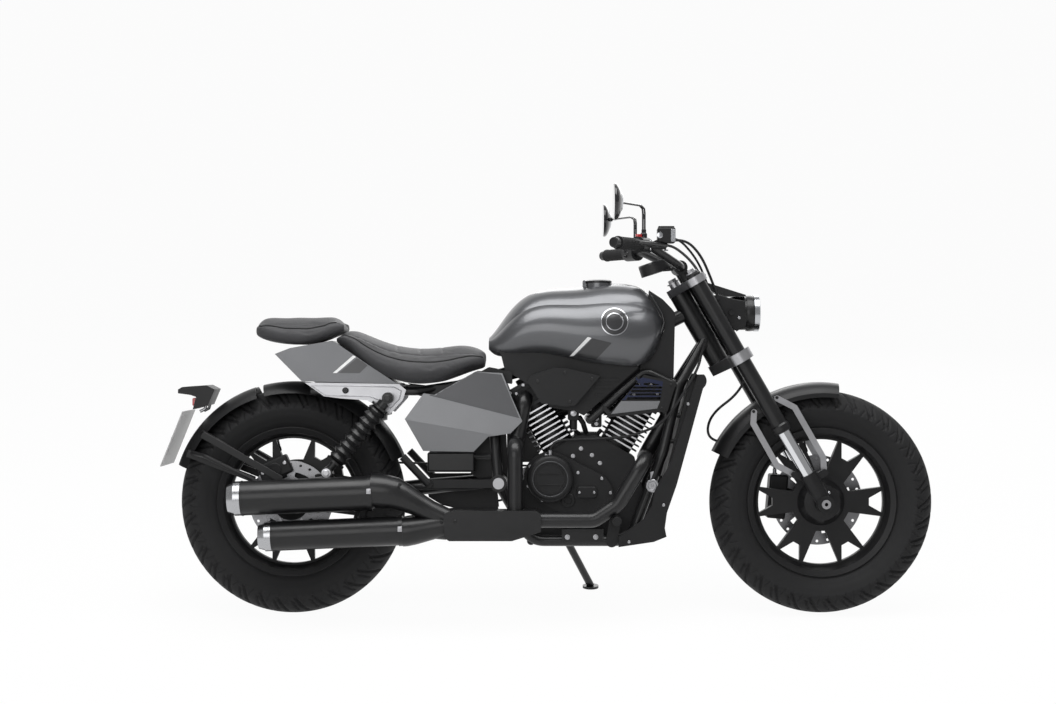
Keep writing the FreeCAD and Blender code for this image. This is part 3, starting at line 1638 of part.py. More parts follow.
# Side shrouds: a curved panel from the radiator's edge down and back under the engine
SHROUD_SHARES = (
    (0.0, 0.06),
    (0.0, 0.0),
    (0.40, 0.03),
    (0.545, 0.06),
    (0.525, 0.11),
    (0.55, 0.20),
    (0.66, 0.36),
    (0.80, 0.62),
    (0.96, 0.92),
    (1.0, 0.965, "arc"),
    (0.97, 1.0),
    (0.90, 1.0),
    (0.84, 0.90),
    (0.60, 0.50),
    (0.41, 0.325),
    (0.38, 0.24),
    (0.28, 0.16),
    (0.11, 0.10),
)
shroud_points = spread(
    SHROUD_SHARES,
    size.shroud_rear_x,
    size.shroud_bottom,
    size.shroud_length,
    size.shroud_height,
)
shroud = side_prism(shroud_points, -size.shroud_half_width - size.shroud_thickness, -size.shroud_half_width)
solid_feature("radiator_shrouds", both_sides(shroud), LEAN)

# Bodywork: lofts through sections across the machine


def section(x, low, high, half, foot_share, shoulder_share):
    """A section across the machine: a flat foot, two bulging sides and a crown."""
    foot = half * foot_share
    shoulder = half * shoulder_share
    shoulder_z = low + (high - low) * 3 / 4
    middle_z = low + (high - low) * 2 / 5
    edges = [
        Part.LineSegment(Vector(x, -foot, low), Vector(x, foot, low)),
        Part.Arc(Vector(x, foot, low), Vector(x, half, middle_z), Vector(x, shoulder, shoulder_z)),
        Part.Arc(Vector(x, shoulder, shoulder_z), Vector(x, 0, high), Vector(x, -shoulder, shoulder_z)),
        Part.Arc(Vector(x, -shoulder, shoulder_z), Vector(x, -half, middle_z), Vector(x, -foot, low)),
    ]
    return Part.Wire([edge.toShape() for edge in edges])


def body_loft(station_shares, start_x, start_z, length, height, half, foot_share, shoulder_share):
    """A loft through stations: each has shares of the length, of two heights and of the half width."""
    wires = []
    for along, low, high, wide in station_shares:
        wires.append(
            section(
                start_x + along * length,
                start_z + low * height,
                start_z + high * height,
                wide * half,
                foot_share,
                shoulder_share,
            )
        )
    return Part.makeLoft(wires, True, False)


# Fuel tank: the loft, a tunnel for the backbone and a neck for the filler
tank_height = size.filler_height - size.tank_bottom
TANK_SECTION_SHARES = (0.72, 0.70)
TANK_STATION_SHARES = (
    (0.0, 0.20, 0.34, 0.40),
    (0.06, 0.12, 0.494, 0.58),
    (0.18, 0.15, 0.79, 0.76),
    (0.42, 0.12, 0.935, 0.93),
    (0.64, 0.035, 0.985, 1.0),
    (0.80, 0.005, 0.985, 0.97),
    (0.90, 0.06, 0.91, 0.86),
    (0.965, 0.25, 0.74, 0.68),
    (1.0, 0.42, 0.58, 0.45),
)
tank = body_loft(
    TANK_STATION_SHARES,
    -size.tank_rear_back,
    size.tank_bottom,
    size.tank_length,
    tank_height,
    size.tank_half_width,
    *TANK_SECTION_SHARES,
)
tunnel_half = size.backbone_radius + size.tunnel_gap
bend = Vector(size.backbone_bend_x, 0, size.backbone_bend_height)
head_join = head_point(head_high - size.head_radius * 2)
tunnel_points = [
    (backbone_rear.x, size.tank_bottom - size.overrun),
    (backbone_rear.x, backbone_rear.z + tunnel_half),
    (bend.x, bend.z + tunnel_half),
    (head_join.x, head_join.z + tunnel_half),
    (head_join.x, size.tank_bottom - size.overrun),
]
tunnel = side_prism(tunnel_points, -tunnel_half, tunnel_half)
cap_place = Vector(size.filler_x, 0, size.filler_height)
neck_low = size.filler_height - size.filler_depth
neck = Part.makeCylinder(size.filler_radius, size.filler_depth, Vector(size.filler_x, 0, neck_low))
filler_bore = Part.makeCylinder(
    size.filler_bore_radius,
    size.filler_depth,
    Vector(size.filler_x, 0, neck_low + size.rim_wall),
)
hinge = cap_place + Vector(-size.filler_radius - size.cap_hinge_radius, 0, size.cap_hinge_radius)
knuckle_half = size.filler_radius / 4
ear_high = knuckle_half * 2
ears = []
for low_y in (-ear_high, knuckle_half + size.fit_gap):
    high_y = low_y + ear_high - knuckle_half - size.fit_gap
    ear = cross_rod(hinge.x, hinge.z, low_y, high_y, size.cap_hinge_radius)
    foot = Part.makeBox(
        size.cap_hinge_radius * 2,
        high_y - low_y,
        hinge.z - neck_low,
        Vector(hinge.x - size.cap_hinge_radius, low_y, neck_low),
    )
    ears.append(ear.fuse(foot))
hinge_pin = cross_rod(hinge.x, hinge.z, -ear_high, ear_high, size.cap_hinge_radius / 2)
tank = joined([tank, neck] + ears).cut(filler_bore).fuse(hinge_pin).cut(tunnel)
solid_feature("fuel_tank", tank, LEAN)

# Fuel cap: a lid on the neck with a knuckle round the hinge pin
lid_low = size.filler_height + size.fit_gap
lid = Part.makeCylinder(size.filler_radius, size.cap_thickness, Vector(size.filler_x, 0, lid_low))
lid_top = Part.makeCone(
    size.filler_radius,
    size.filler_radius * 4 / 5,
    size.cap_thickness / 2,
    Vector(size.filler_x, 0, lid_low + size.cap_thickness),
)
knuckle = cross_rod(hinge.x, hinge.z, -knuckle_half, knuckle_half, size.cap_hinge_radius)
knuckle_arm = Part.makeBox(
    size.filler_radius,
    knuckle_half * 2,
    size.cap_thickness / 2,
    Vector(hinge.x, -knuckle_half, lid_low + size.cap_thickness / 4),
)
pin_space = cross_rod(hinge.x, hinge.z, -ear_high, ear_high, size.cap_hinge_radius / 2 + size.fit_gap)
cap = joined([lid, lid_top, knuckle, knuckle_arm]).cut(pin_space)
solid_feature("fuel_cap", cap, LEAN)

# Cushions: the rider's saddle and the pillion's pad behind it
RIDER_STATION_SHARES = (
    (0.016, 0.82, 0.90, 0.62),
    (0.10, 0.65, 1.0, 0.70),
    (0.21, 0.41, 0.91, 0.81),
    (0.347, 0.17, 0.76, 0.93),
    (0.51, 0.035, 0.67, 1.0),
    (0.695, 0.08, 0.684, 0.86),
    (0.885, 0.266, 0.72, 0.62),
    (0.977, 0.34, 0.60, 0.42),
)
RIDER_SECTION_SHARES = (0.78, 0.72)
rider_bottom = size.seat_rail_height + size.rider_over_rail
rider = body_loft(
    RIDER_STATION_SHARES,
    -size.rider_rear_back,
    rider_bottom,
    size.rider_length,
    size.rider_height,
    size.rider_half_width,
    *RIDER_SECTION_SHARES,
)
TANK_ROOM_SHARES = ((0.0, 0.0), (0.0, 1.0), (0.1, 1.0), (0.5, 0.0))
tank_room = side_prism(
    spread(
        TANK_ROOM_SHARES,
        -size.tank_rear_back - size.fit_gap,
        size.tank_bottom,
        size.rider_half_width,
        tank_height,
    ),
    -size.rider_half_width,
    size.rider_half_width,
)
# The two cushions part along a line that climbs forward
JOIN_RISE_SHARES = (0.83, 1.01)
join_low = (-size.rider_rear_back - size.join_overlap, rider_bottom + size.rider_height * JOIN_RISE_SHARES[0])
join_high = (join_low[0] + size.join_length, rider_bottom + size.rider_height * JOIN_RISE_SHARES[1])


def beyond_join(rise):
    """The space on one side of the line between the cushions, above it or below."""
    far = size.pillion_length
    points = [join_low, join_high, (join_high[0], join_high[1] + rise), (join_low[0] - far, join_high[1] + rise)]
    points.append((join_low[0] - far, join_low[1]))
    return side_prism(points, -size.rider_half_width, size.rider_half_width)


rider_solid = rider.cut(tank_room).cut(beyond_join(size.rider_height))
solid_feature("rider_cushion", rider_solid, LEAN)
PILLION_STATION_SHARES = (
    (0.022, 0.38, 0.70, 0.70),
    (0.09, 0.235, 0.97, 0.85),
    (0.27, 0.10, 1.0, 0.95),
    (0.47, 0.02, 1.0, 1.0),
    (0.70, 0.15, 1.0, 0.97),
    (0.87, 0.38, 0.98, 0.93),
    (0.978, 0.50, 0.66, 0.80),
)
PILLION_SECTION_SHARES = (0.85, 0.75)
pillion = body_loft(
    PILLION_STATION_SHARES,
    -size.pillion_rear_back,
    size.seat_rail_height + size.pillion_over_rail,
    size.pillion_length,
    size.pillion_height,
    size.pillion_half_width,
    *PILLION_SECTION_SHARES,
)
below_join = side_prism(
    [
        (join_low[0] - size.fit_gap, join_low[1] + size.fit_gap),
        (join_high[0] - size.fit_gap, join_high[1] + size.fit_gap),
        (join_high[0] + size.join_overlap, join_high[1] + size.fit_gap),
        (join_high[0] + size.join_overlap, rider_bottom),
        (join_low[0] - size.fit_gap, rider_bottom),
    ],
    -size.rider_half_width,
    size.rider_half_width,
)
pillion_solid = pillion.cut(below_join)
solid_feature("pillion_cushion", pillion_solid, LEAN)

# Rear fender: the inner shell over the tyre
rear_inner = size.rear_tyre_radius + size.rear_fender_clearance
rear_half = size.rear_tyre_width / 2 + size.rear_fender_side_gap
rear_fender = fender_shell(
    rear_inner,
    rear_half,
    size.rear_fender_side_depth,
    size.rear_fender_front_angle,
    size.rear_fender_rear_angle,
)
solid_feature("rear_fender", rear_fender, REAR_WHEEL)

# Tail cowl: the panel under both cushions
COWL_SHARES = (
    (0.0, 0.685),
    (0.123, 0.82),
    (0.457, 0.985),
    (0.50, 0.94),
    (0.76, 0.44),
    (1.0, 0.0),
    (0.22, 0.06),
)
cowl_points = spread(
    COWL_SHARES,
    -size.cowl_rear_back,
    size.seat_rail_height + size.cowl_over_rail,
    size.cowl_length,
    size.cowl_height,
)
cowl = side_prism(cowl_points, -size.cowl_half_width, size.cowl_half_width)
wheel_room = cross_rod(
    rear_axle.x,
    rear_axle.z,
    -size.cowl_half_width * 2,
    size.cowl_half_width * 2,
    rear_inner + size.fender_wall + size.fit_gap,
)
solid_feature("tail_cowl", cowl.cut(wheel_room).cut(rider_solid).cut(pillion_solid), LEAN)

# Tail brackets: silver plates beside the seat rails, with a pin for each shock absorber
BRACKET_SHARES = (
    (0.0, 1.0),
    (0.93, 0.95),
    (1.0, 0.77),
    (0.97, 0.46),
    (0.84, 0.0),
    (0.78, 0.10),
    (0.62, 0.44),
    (0.36, 0.50),
    (0.19, 0.57),
)
bracket_y = size.seat_rail_half_width + size.seat_rail_radius + size.fit_gap
bracket_points = spread(
    BRACKET_SHARES,
    -size.bracket_rear_back,
    size.seat_rail_height - size.bracket_under_rail,
    size.bracket_length,
    size.bracket_height,
)
bracket_plate = side_prism(bracket_points, bracket_y, bracket_y + size.bracket_thickness)
shock_boss_end = size.shock_half_width - shock_eye_half - size.fit_gap
bracket_boss = cross_rod(shock_top.x, shock_top.z, bracket_y, shock_boss_end, size.shock_eye_radius)
bracket_pin = cross_rod(
    shock_top.x,
    shock_top.z,
    bracket_y,
    size.shock_half_width + shock_eye_half + size.axle_head,
    size.shock_pin_radius,
)
solid_feature("tail_brackets", both_sides(joined([bracket_plate, bracket_boss, bracket_pin])), LEAN)

# Side covers under the saddle, and the cover of the air filter under the tank
SIDE_COVER_SHARES = (
    (0.0, 0.41),
    (0.16, 0.73),
    (0.25, 0.71),
    (0.60, 1.0),
    (0.83, 0.98),
    (0.92, 0.645),
    (1.0, 0.38),
    (0.90, 0.23),
    (0.71, 0.19),
    (0.585, 0.0),
    (0.155, 0.01),
)
cover_points = spread(
    SIDE_COVER_SHARES,
    -size.side_cover_rear_back,
    size.side_cover_bottom,
    size.side_cover_length,
    size.side_cover_height,
)
side_cover = side_prism(cover_points, size.side_cover_inner, size.side_cover_inner + size.side_cover_depth)
cover_face = size.side_cover_inner + size.side_cover_depth


def beyond_facet(crease, fall, reach):
    """The space outside a plane that falls inward from a crease line, on the line's left."""
    start = Vector(crease[0][0], cover_face, crease[0][1])
    way = Vector(crease[1][0], cover_face, crease[1][1]) - start
    aside = way.cross(ALONG_Y).normalize() * reach
    rise = ALONG_Y * size.side_cover_depth
    corners = [start, start + aside - ALONG_Y * fall, start + aside + rise, start + rise, start]
    wedge = Part.Face(Part.makePolygon(corners)).extrude(way * 2)
    wedge.translate(way / -2)
    return wedge


UPPER_CREASE_SHARES = ((0.46, 0.646), (0.96, 0.447))
LOWER_CREASE_SHARES = ((0.66, 0.236), (0.0, 0.404))
for crease_shares, fall, reach in (
    (UPPER_CREASE_SHARES, size.upper_facet_fall, size.upper_facet_reach),
    (LOWER_CREASE_SHARES, size.lower_facet_fall, size.lower_facet_reach),
):
    crease = spread(
        crease_shares,
        -size.side_cover_rear_back,
        size.side_cover_bottom,
        size.side_cover_length,
        size.side_cover_height,
    )
    side_cover = side_cover.cut(beyond_facet(crease, fall, reach))
COVER_BOSS_SHARE = 0.3
loop_seat = loop_path[6] + (loop_path[7] - loop_path[6]) * COVER_BOSS_SHARE
cover_boss = cross_rod(
    loop_seat.x,
    loop_seat.z,
    loop_seat.y,
    size.side_cover_inner + size.rim_wall,
    size.panel_boss_radius,
)
side_cover = side_cover.fuse(cover_boss.cut(loop_room))
solid_feature("side_covers", both_sides(side_cover), LEAN)
AIRBOX_SHARES = (
    (0.05, 0.80),
    (0.36, 1.0),
    (0.52, 0.99),
    (1.0, 0.79),
    (0.65, 0.02),
    (0.52, 0.0),
    (0.19, 0.08),
    (0.0, 0.63),
)
airbox_points = spread(
    AIRBOX_SHARES,
    -size.airbox_rear_back,
    size.airbox_bottom,
    size.airbox_length,
    size.airbox_height,
)
airbox_cover = side_prism(airbox_points, size.airbox_inner, size.airbox_inner + size.airbox_depth)
AIRBOX_BODY_SHARES = ((0.38, 0.42), (0.92, 0.42), (0.92, 0.74), (0.38, 0.92))
airbox_body = side_prism(
    spread(
        AIRBOX_BODY_SHARES,
        -size.airbox_rear_back,
        size.airbox_bottom,
        size.airbox_length,
        size.airbox_height,
    ),
    -size.airbox_inner - size.overrun,
    size.airbox_inner + size.overrun,
)
airbox_top = Vector(size.airbox_length / 4, 0, size.airbox_bottom + size.airbox_height / 2)
backbone_room = tube([head_join, bend, backbone_rear], size.backbone_radius + size.fit_gap, size.frame_bend_radius * 2)
airbox_post = rod(airbox_top, airbox_top + ALONG_Z * size.airbox_height, size.seat_rail_radius).cut(backbone_room)
airbox_post = sorted(airbox_post.Solids, key=lambda piece: piece.CenterOfMass.z)[0]
# Trim panels beside the cover, up to the tank's lower edge, with three ribs at the front
tank_room = body_loft(
    TANK_STATION_SHARES,
    -size.tank_rear_back - size.trim_gap,
    size.tank_bottom - size.trim_gap,
    size.tank_length + 2 * size.trim_gap,
    tank_height + 2 * size.trim_gap,
    size.tank_half_width + size.trim_gap,
    *TANK_SECTION_SHARES,
)
TRIM_SHARES = (
    (0.0, 1.0),
    (0.037, 0.684),
    (0.245, 0.42),
    (0.36, 0.12),
    (0.534, 0.068),
    (0.60, 0.0),
    (0.985, 0.716),
    (1.0, 1.0),
)
trim_points = spread(TRIM_SHARES, -size.trim_rear_back, size.trim_bottom, size.trim_length, size.trim_height)
trim_low = size.airbox_inner - size.trim_thickness
trim = side_prism(trim_points, trim_low, size.airbox_inner + size.trim_thickness / 6).cut(tank_room)
trim = sorted(trim.Solids, key=lambda piece: piece.Volume)[-1]
TRIM_RIB_SHARES = ((0.686, 0.52, 0.165), (0.686, 0.415, 0.12), (0.686, 0.285, 0.06))
ribs = [
    Part.makeBox(
        length_share * size.trim_length,
        size.trim_thickness * 2,
        size.trim_rib_height,
        Vector(
            start_share * size.trim_length - size.trim_rear_back,
            trim_low,
            size.trim_bottom + rise_share * size.trim_height,
        ),
    )
    for start_share, rise_share, length_share in TRIM_RIB_SHARES
]
airbox_side = joined([airbox_cover, trim] + ribs)
solid_feature("airbox", joined([airbox_side, mirrored(airbox_side), airbox_body, airbox_post]), LEAN)

# Head panels beside the steering head, before the tank's nose
HEAD_PANEL_SHARES = (
    (0.0, 0.10),
    (0.26, 1.0),
    (0.65, 0.90),
    (0.90, 0.80),
    (1.0, 0.75),
    (0.955, 0.0),
)
head_panel_points = spread(
    HEAD_PANEL_SHARES,
    size.head_panel_rear_x,
    size.head_panel_bottom,
    size.head_panel_length,
    size.head_panel_height,
)
head_panel_outer = size.head_panel_inner + size.head_panel_thickness
head_panel = side_prism(head_panel_points, size.head_panel_inner, head_panel_outer).cut(tank_room)
head_panel = sorted(head_panel.Solids, key=lambda piece: piece.Volume)[-1]
PANEL_BOSS_SHARE = 0.47
brace_seat = brace_path[0] + (brace_path[1] - brace_path[0]) * PANEL_BOSS_SHARE
panel_boss = cross_rod(
    brace_seat.x,
    brace_seat.z,
    size.head_panel_inner,
    brace_seat.y,
    size.panel_boss_radius,
)
solid_feature("head_panels", both_sides(head_panel.fuse(panel_boss.cut(brace_room))), LEAN)

# Side grilles between the braces and the radiator: a frame with slats, on two bosses
GRILLE_SHARES = ((0.543, 1.0), (1.0, 0.827), (0.876, 0.145), (0.0, 0.0))
GRILLE_WINDOW_SHARES = ((0.444, 0.86), (0.80, 0.76), (0.775, 0.42), (0.30, 0.42))
grille_outer = size.grille_inner + size.grille_thickness


def grille_prism(shares, extra):
    """An outline in the grille's own shares, as thick as the grille and a little more."""
    points = spread(shares, size.grille_rear_x, size.grille_bottom, size.grille_length, size.grille_height)
    return side_prism(points, size.grille_inner - extra, grille_outer + extra)


window = grille_prism(GRILLE_WINDOW_SHARES, size.overrun)
grille_parts = [grille_prism(GRILLE_SHARES, 0).cut(window)]
SLAT_RISE_SHARES = (0.48, 0.56, 0.64, 0.72, 0.80)
for rise_share in SLAT_RISE_SHARES:
    slat = Part.makeBox(
        size.grille_length,
        size.grille_thickness,
        size.slat_height,
        Vector(size.grille_rear_x, size.grille_inner, size.grille_bottom + rise_share * size.grille_height),
    )
    grille_parts.append(slat.common(window))
GRILLE_BOSS_SHARES = (0.15, 0.75)
edge_way = (brace_path[2] - brace_path[1]).normalize().cross(ALONG_Y) * (size.seat_rail_radius * 5 / 3)
for boss_share in GRILLE_BOSS_SHARES:
    seat = brace_path[1] + (brace_path[2] - brace_path[1]) * boss_share
    inside = seat + edge_way
    grille_parts.append(
        strap(
            [(seat.x, seat.z), (inside.x, inside.z)],
            size.panel_boss_radius * 2,
            size.grille_inner,
            grille_outer,
        )
    )
    boss = cross_rod(seat.x, seat.z, seat.y, grille_outer, size.panel_boss_radius)
    grille_parts.append(boss.cut(brace_room))
solid_feature("side_grilles", both_sides(joined(grille_parts)), LEAN)

# Hugger: the shell behind the rear tyre, with two arms on each side and the number plate
hugger = fender_shell(
    rear_inner,
    rear_half,
    size.rear_fender_side_depth,
    size.hugger_front_angle,
    size.hugger_rear_angle,
)
hugger_y = arm_y + size.arm_radius + size.fit_gap + size.hugger_arm_radius
hugger_arms = []
for top_angle, foot_place in (
    (size.hugger_upper_angle, (size.hugger_foot_x, size.hugger_foot_z)),
    (size.hugger_lower_angle, (-size.hugger_foot_x * 5, size.hugger_foot_z)),
):
    top = polar(rear_inner + size.fender_wall / 2, top_angle)
    hugger_arms.append(
        tube(
            [
                Vector(foot_place[0], hugger_y, foot_place[1]),
                Vector(top[0] * 4 / 5, hugger_y, top[1] * 4 / 5),
                Vector(top[0], rear_half - size.fender_wall / 2, top[1] - size.rear_fender_side_depth),
            ],
            size.hugger_arm_radius,
            size.hugger_arm_radius * 4,
        )
    )
arm_join = strap(
    [(size.hugger_foot_x, size.hugger_foot_z), (-size.hugger_foot_x * 5, size.hugger_foot_z)],
    size.hugger_arm_radius * 3,
    hugger_y - size.hugger_arm_radius,
    hugger_y + size.hugger_arm_radius,
)
hugger_side = hugger_arms + [arm_join]
hugger = joined([hugger] + hugger_side + [mirrored(shape) for shape in hugger_side])
solid_feature("hugger", hugger, REAR_WHEEL)
plate_tilt = Rotation(ALONG_Y, size.plate_tilt)
plate = Part.makeBox(
    size.plate_thickness,
    size.plate_width,
    size.plate_height,
    Vector(-size.plate_thickness, -size.plate_width / 2, -size.plate_height),
)
for side in (-1, 1):
    start = Vector(-2 * size.plate_thickness, side * size.plate_bolt_across / 2, -size.plate_height / 2)
    plate = plate.cut(Part.makeCylinder(size.plate_hole_radius, 4 * size.plate_thickness, start, ALONG_X))
plate_top = Vector(-size.plate_top_back, 0, size.plate_top_height)
plate.Placement = Placement(plate_top, plate_tilt)
solid_feature("number_plate", plate, LEAN)
LAMP_SHARES = (
    (0.0, 0.83),
    (0.11, 0.93),
    (0.78, 1.0),
    (1.0, 0.83),
    (0.82, 0.18),
    (0.40, 0.0),
    (0.49, 0.52),
    (0.34, 0.60),
    (0.0, 0.67),
)
tail_lamp_points = spread(
    LAMP_SHARES,
    -size.tail_lamp_rear_back,
    size.tail_lamp_bottom,
    size.tail_lamp_length,
    size.tail_lamp_height,
)
tail_lamp = side_prism(tail_lamp_points, -size.tail_lamp_half_width, size.tail_lamp_half_width)
solid_feature("tail_lamp", tail_lamp, LEAN)

# Exhaust: two header pipes, a collector between them, and two silencers with end caps
pipe_y = -size.exhaust_offset
port_out = size.head_block_top - size.header_radius * 2
header_aside = size.cylinder_half_width + size.header_radius * 4 / 3
front_port = cylinder_place(port_out, size.head_block_half + size.fit_gap, 1)
front_elbow = cylinder_place(port_out, header_aside, 1)
front_low = cylinder_place(size.fin_first, header_aside, 1)
rear_port = cylinder_place(port_out, size.fin_corner * 4 / 5, -1)
collector_z = size.collector_bottom + size.collector_height / 2
elbow_place = Vector(front_elbow[0], -size.header_radius, front_elbow[1])
low_place = Vector(front_low[0], -size.header_radius, front_low[1])
straight_middle = (elbow_place + low_place) / 2
upper_header = tube(
    [Vector(front_port[0], -size.header_radius, front_port[1]), elbow_place, straight_middle],
    size.header_radius,
    size.header_radius * 5 / 4,
)
lower_header = tube(
    [
        straight_middle,
        low_place,
        Vector(size.header_knee_x, pipe_y, size.header_knee_height),
        Vector(size.header_low_x, pipe_y, size.header_low_height + size.header_radius * 2),
        Vector(size.header_low_x - size.header_radius * 3, pipe_y, size.header_low_height),
        Vector(size.collector_front_x + size.fit_gap, pipe_y, size.header_low_height),
    ],
    size.header_radius,
    size.header_bend_radius,
)
front_header = upper_header.fuse(lower_header)
rear_header = tube(
    [
        Vector(rear_port[0], -size.head_block_half - size.fit_gap, rear_port[1]),
        Vector(rear_port[0], -size.rear_header_inner, rear_port[1]),
        Vector(-size.shield_back, -size.rear_header_inner, size.rear_header_height),
        Vector(-size.shield_back, pipe_y, size.rear_header_height),
        Vector(-size.shield_back, pipe_y, size.collector_bottom + size.collector_height + size.fit_gap),
    ],
    size.shield_radius,
    size.shield_radius * 5 / 4,
)
solid_feature("exhaust_headers", Part.makeCompound([front_header, rear_header]), LEAN)
COLLECTOR_SHARES = (
    (0.0, 0.10),
    (0.05, 0.0),
    (0.70, 0.0),
    (1.0, 0.30),
    (1.0, 0.90),
    (0.95, 1.0),
    (0.10, 1.0),
    (0.0, 0.92),
)
collector_points = spread(
    COLLECTOR_SHARES,
    size.collector_front_x - size.collector_length,
    size.collector_bottom,
    size.collector_length,
    size.collector_height,
)
collector_half = size.collector_width / 2
collector = side_prism(collector_points, pipe_y - collector_half, pipe_y + collector_half)


def silencer_way(front_x, front_height, rear_x, rear_height):
    """Front place, rear place and direction of a silencer."""
    front = Vector(front_x, pipe_y, front_height)
    rear = Vector(rear_x, pipe_y, rear_height)
    return front, rear, (rear - front).normalize()


silencers = []
caps = []
links = []
for front_x, front_height, rear_x, rear_height, radius, cap_length in (
    (
        -size.upper_front_back,
        size.upper_front_height,
        -size.upper_rear_back,
        size.upper_rear_height,
        size.upper_radius,
        size.upper_cap_length,
    ),
    (
        -size.lower_front_back,
        size.lower_front_height,
        -size.lower_rear_back,
        size.lower_rear_height,
        size.lower_radius,
        size.lower_cap_length,
    ),
):
    front, rear, way = silencer_way(front_x, front_height, rear_x, rear_height)
    silencers.append(rod(front, rear, radius))
    cap_start = rear + way * size.fit_gap
    cap = joined(
        [
            rod(cap_start, rear + way * (cap_length / 2), radius),
            Part.makeCone(radius - size.rim_wall / 2, radius * 4 / 5, cap_length / 2, rear + way * (cap_length / 2), way),
        ]
    )
    mouth = rod(rear + way * (cap_length / 3), rear + way * (cap_length * 2), radius * 3 / 5)
    caps.append(cap.cut(mouth))
    outlet_z = size.collector_bottom + size.collector_height * (3 / 4 if radius == size.upper_radius else 1 / 4)
    mouth_radius = size.header_radius
    outlet = Vector(size.collector_front_x - size.collector_length + size.overrun, pipe_y, outlet_z)
    neck_end = front - way * size.fit_gap
    cone_start = front - way * radius
    links.append(Part.makeCone(mouth_radius, radius, radius - size.fit_gap, cone_start, way))
    links.append(rod(outlet, cone_start, mouth_radius))
    links.append(Part.makeSphere(mouth_radius, cone_start))
solid_feature("collector", joined([collector] + links), LEAN)
solid_feature("silencers", Part.makeCompound(silencers), LEAN)
solid_feature("silencer_caps", Part.makeCompound(caps), LEAN)

# Brake calipers: a block over each disc, with a slot for it
def caliper(length, height, low_y, high_y, disc_low, disc_high, radius):
    """A caliper over the top of a disc at the origin, open to it below."""
    block = Part.makeBox(length, high_y - low_y, height, Vector(-length / 2, low_y, radius - height * 3 / 4))
    block = block.makeFillet(size.rim_wall, block.Edges)
    slot = cross_rod(0, 0, disc_low - size.fit_gap * 5, disc_high + size.fit_gap * 5, radius + size.fit_gap * 10)
    return block.cut(slot)


front_caliper = caliper(
    size.caliper_length,
    size.caliper_height,
    size.disc_offset - size.caliper_inner_width,
    size.disc_offset + size.disc_thickness + size.caliper_width,
    size.disc_offset,
    size.disc_offset + size.disc_thickness,
    size.front_disc_radius,
)
front_caliper.rotate(Vector(0, 0, 0), ALONG_Y, -size.front_caliper_angle)
solid_feature("front_caliper", front_caliper, FRONT_WHEEL)
rear_caliper = caliper(
    size.rear_caliper_length,
    size.rear_caliper_height,
    -size.rear_disc_offset - size.disc_thickness - size.caliper_inner_width,
    -size.rear_disc_offset + size.caliper_inner_width,
    -size.rear_disc_offset - size.disc_thickness,
    -size.rear_disc_offset,
    size.rear_disc_radius,
)
rear_caliper.rotate(Vector(0, 0, 0), ALONG_Y, -size.rear_caliper_angle)
solid_feature("rear_caliper", rear_caliper, REAR_WHEEL)

# Foot pegs: the rider's forward pegs on the cradle, and the pillion's behind the pivot
peg_inner = rail_y + size.frame_tube_radius + size.fit_gap
peg_start = peg_inner + size.peg_bracket_length
peg_bracket = strap(
    [(size.peg_x, size.peg_height), (size.peg_x - size.peg_radius, size.cradle_height)],
    size.peg_radius * 3,
    peg_inner,
    peg_inner + size.pillion_bracket_thickness,
)
rider_peg = joined(
    [
        peg_bracket,
        cross_rod(size.peg_x, size.peg_height, peg_inner, peg_start, size.peg_radius * 4 / 3),
        cross_rod(size.peg_x, size.peg_height, peg_start, peg_start + size.peg_length, size.peg_radius),
    ]
)
bracket_low = pivot_y + size.frame_tube_radius + size.fit_gap
bracket_high = bracket_low + size.pillion_bracket_thickness
peg_root = (-size.pillion_peg_back, size.pillion_peg_height)
pillion_bracket = strap([(pivot.x, pivot.z), peg_root], size.pillion_bracket_width, bracket_low, bracket_high)
pivot_head_room = cross_rod(pivot.x, pivot.z, 0, bracket_high * 2, spacer_radius + size.fit_gap)
peg_foot = Vector(peg_root[0], bracket_high + size.peg_radius, peg_root[1])
peg_tip = peg_foot + Vector(-size.pillion_peg_fold_back, 0, size.pillion_peg_fold_rise)
pillion_peg = joined(
    [
        pillion_bracket.cut(pivot_head_room),
        cross_rod(peg_root[0], peg_root[1], bracket_low, bracket_high + size.peg_radius, size.peg_radius),
        rod(peg_foot, peg_tip, size.peg_radius),
    ]
)
solid_feature("foot_pegs", both_sides(Part.makeCompound([rider_peg, pillion_peg])), LEAN)

# Instrument: a round gauge behind the handlebar
gauge_centre = bar_centre + Vector(-size.gauge_radius * 3 / 2, 0, -size.gauge_depth / 2)
gauge_way = Vector(-math.sin(size.gauge_lean_share * math.pi), 0, math.cos(size.gauge_lean_share * math.pi))
gauge = Part.makeCylinder(size.gauge_radius, size.gauge_depth, gauge_centre, gauge_way)
gauge_arm = rod(gauge_centre + gauge_way * (size.gauge_depth / 3), bar_centre, size.bar_radius / 2)
riser_room = cross_rod(bar_centre.x, bar_centre.z, -ring_half, ring_half, ring_radius + size.fit_gap)
solid_feature("instrument", gauge.fuse(gauge_arm.cut(riser_room)), LEAN)

# Side stand: a leg from its pivot to a foot on the floor
foot_normal = Vector(0, -math.sin(lean), math.cos(lean))
leg = rod(stand_pivot, stand_foot + foot_normal * size.stand_foot_thickness, size.stand_radius)
foot = Part.makeCylinder(size.stand_foot_radius, size.stand_foot_thickness, stand_foot, foot_normal)
eye = along_stand_pin(-stand_eye_half, stand_eye_half, size.stand_eye_radius)
pin_room = along_stand_pin(-size.stand_reach, size.stand_reach, size.stand_pin_radius + size.fit_gap)
head_room = along_stand_pin(stand_eye_half, size.stand_reach * 2, stand_head_radius + size.fit_gap)
solid_feature("side_stand", joined([leg, foot, eye]).cut(pin_room).cut(head_room), LEAN)


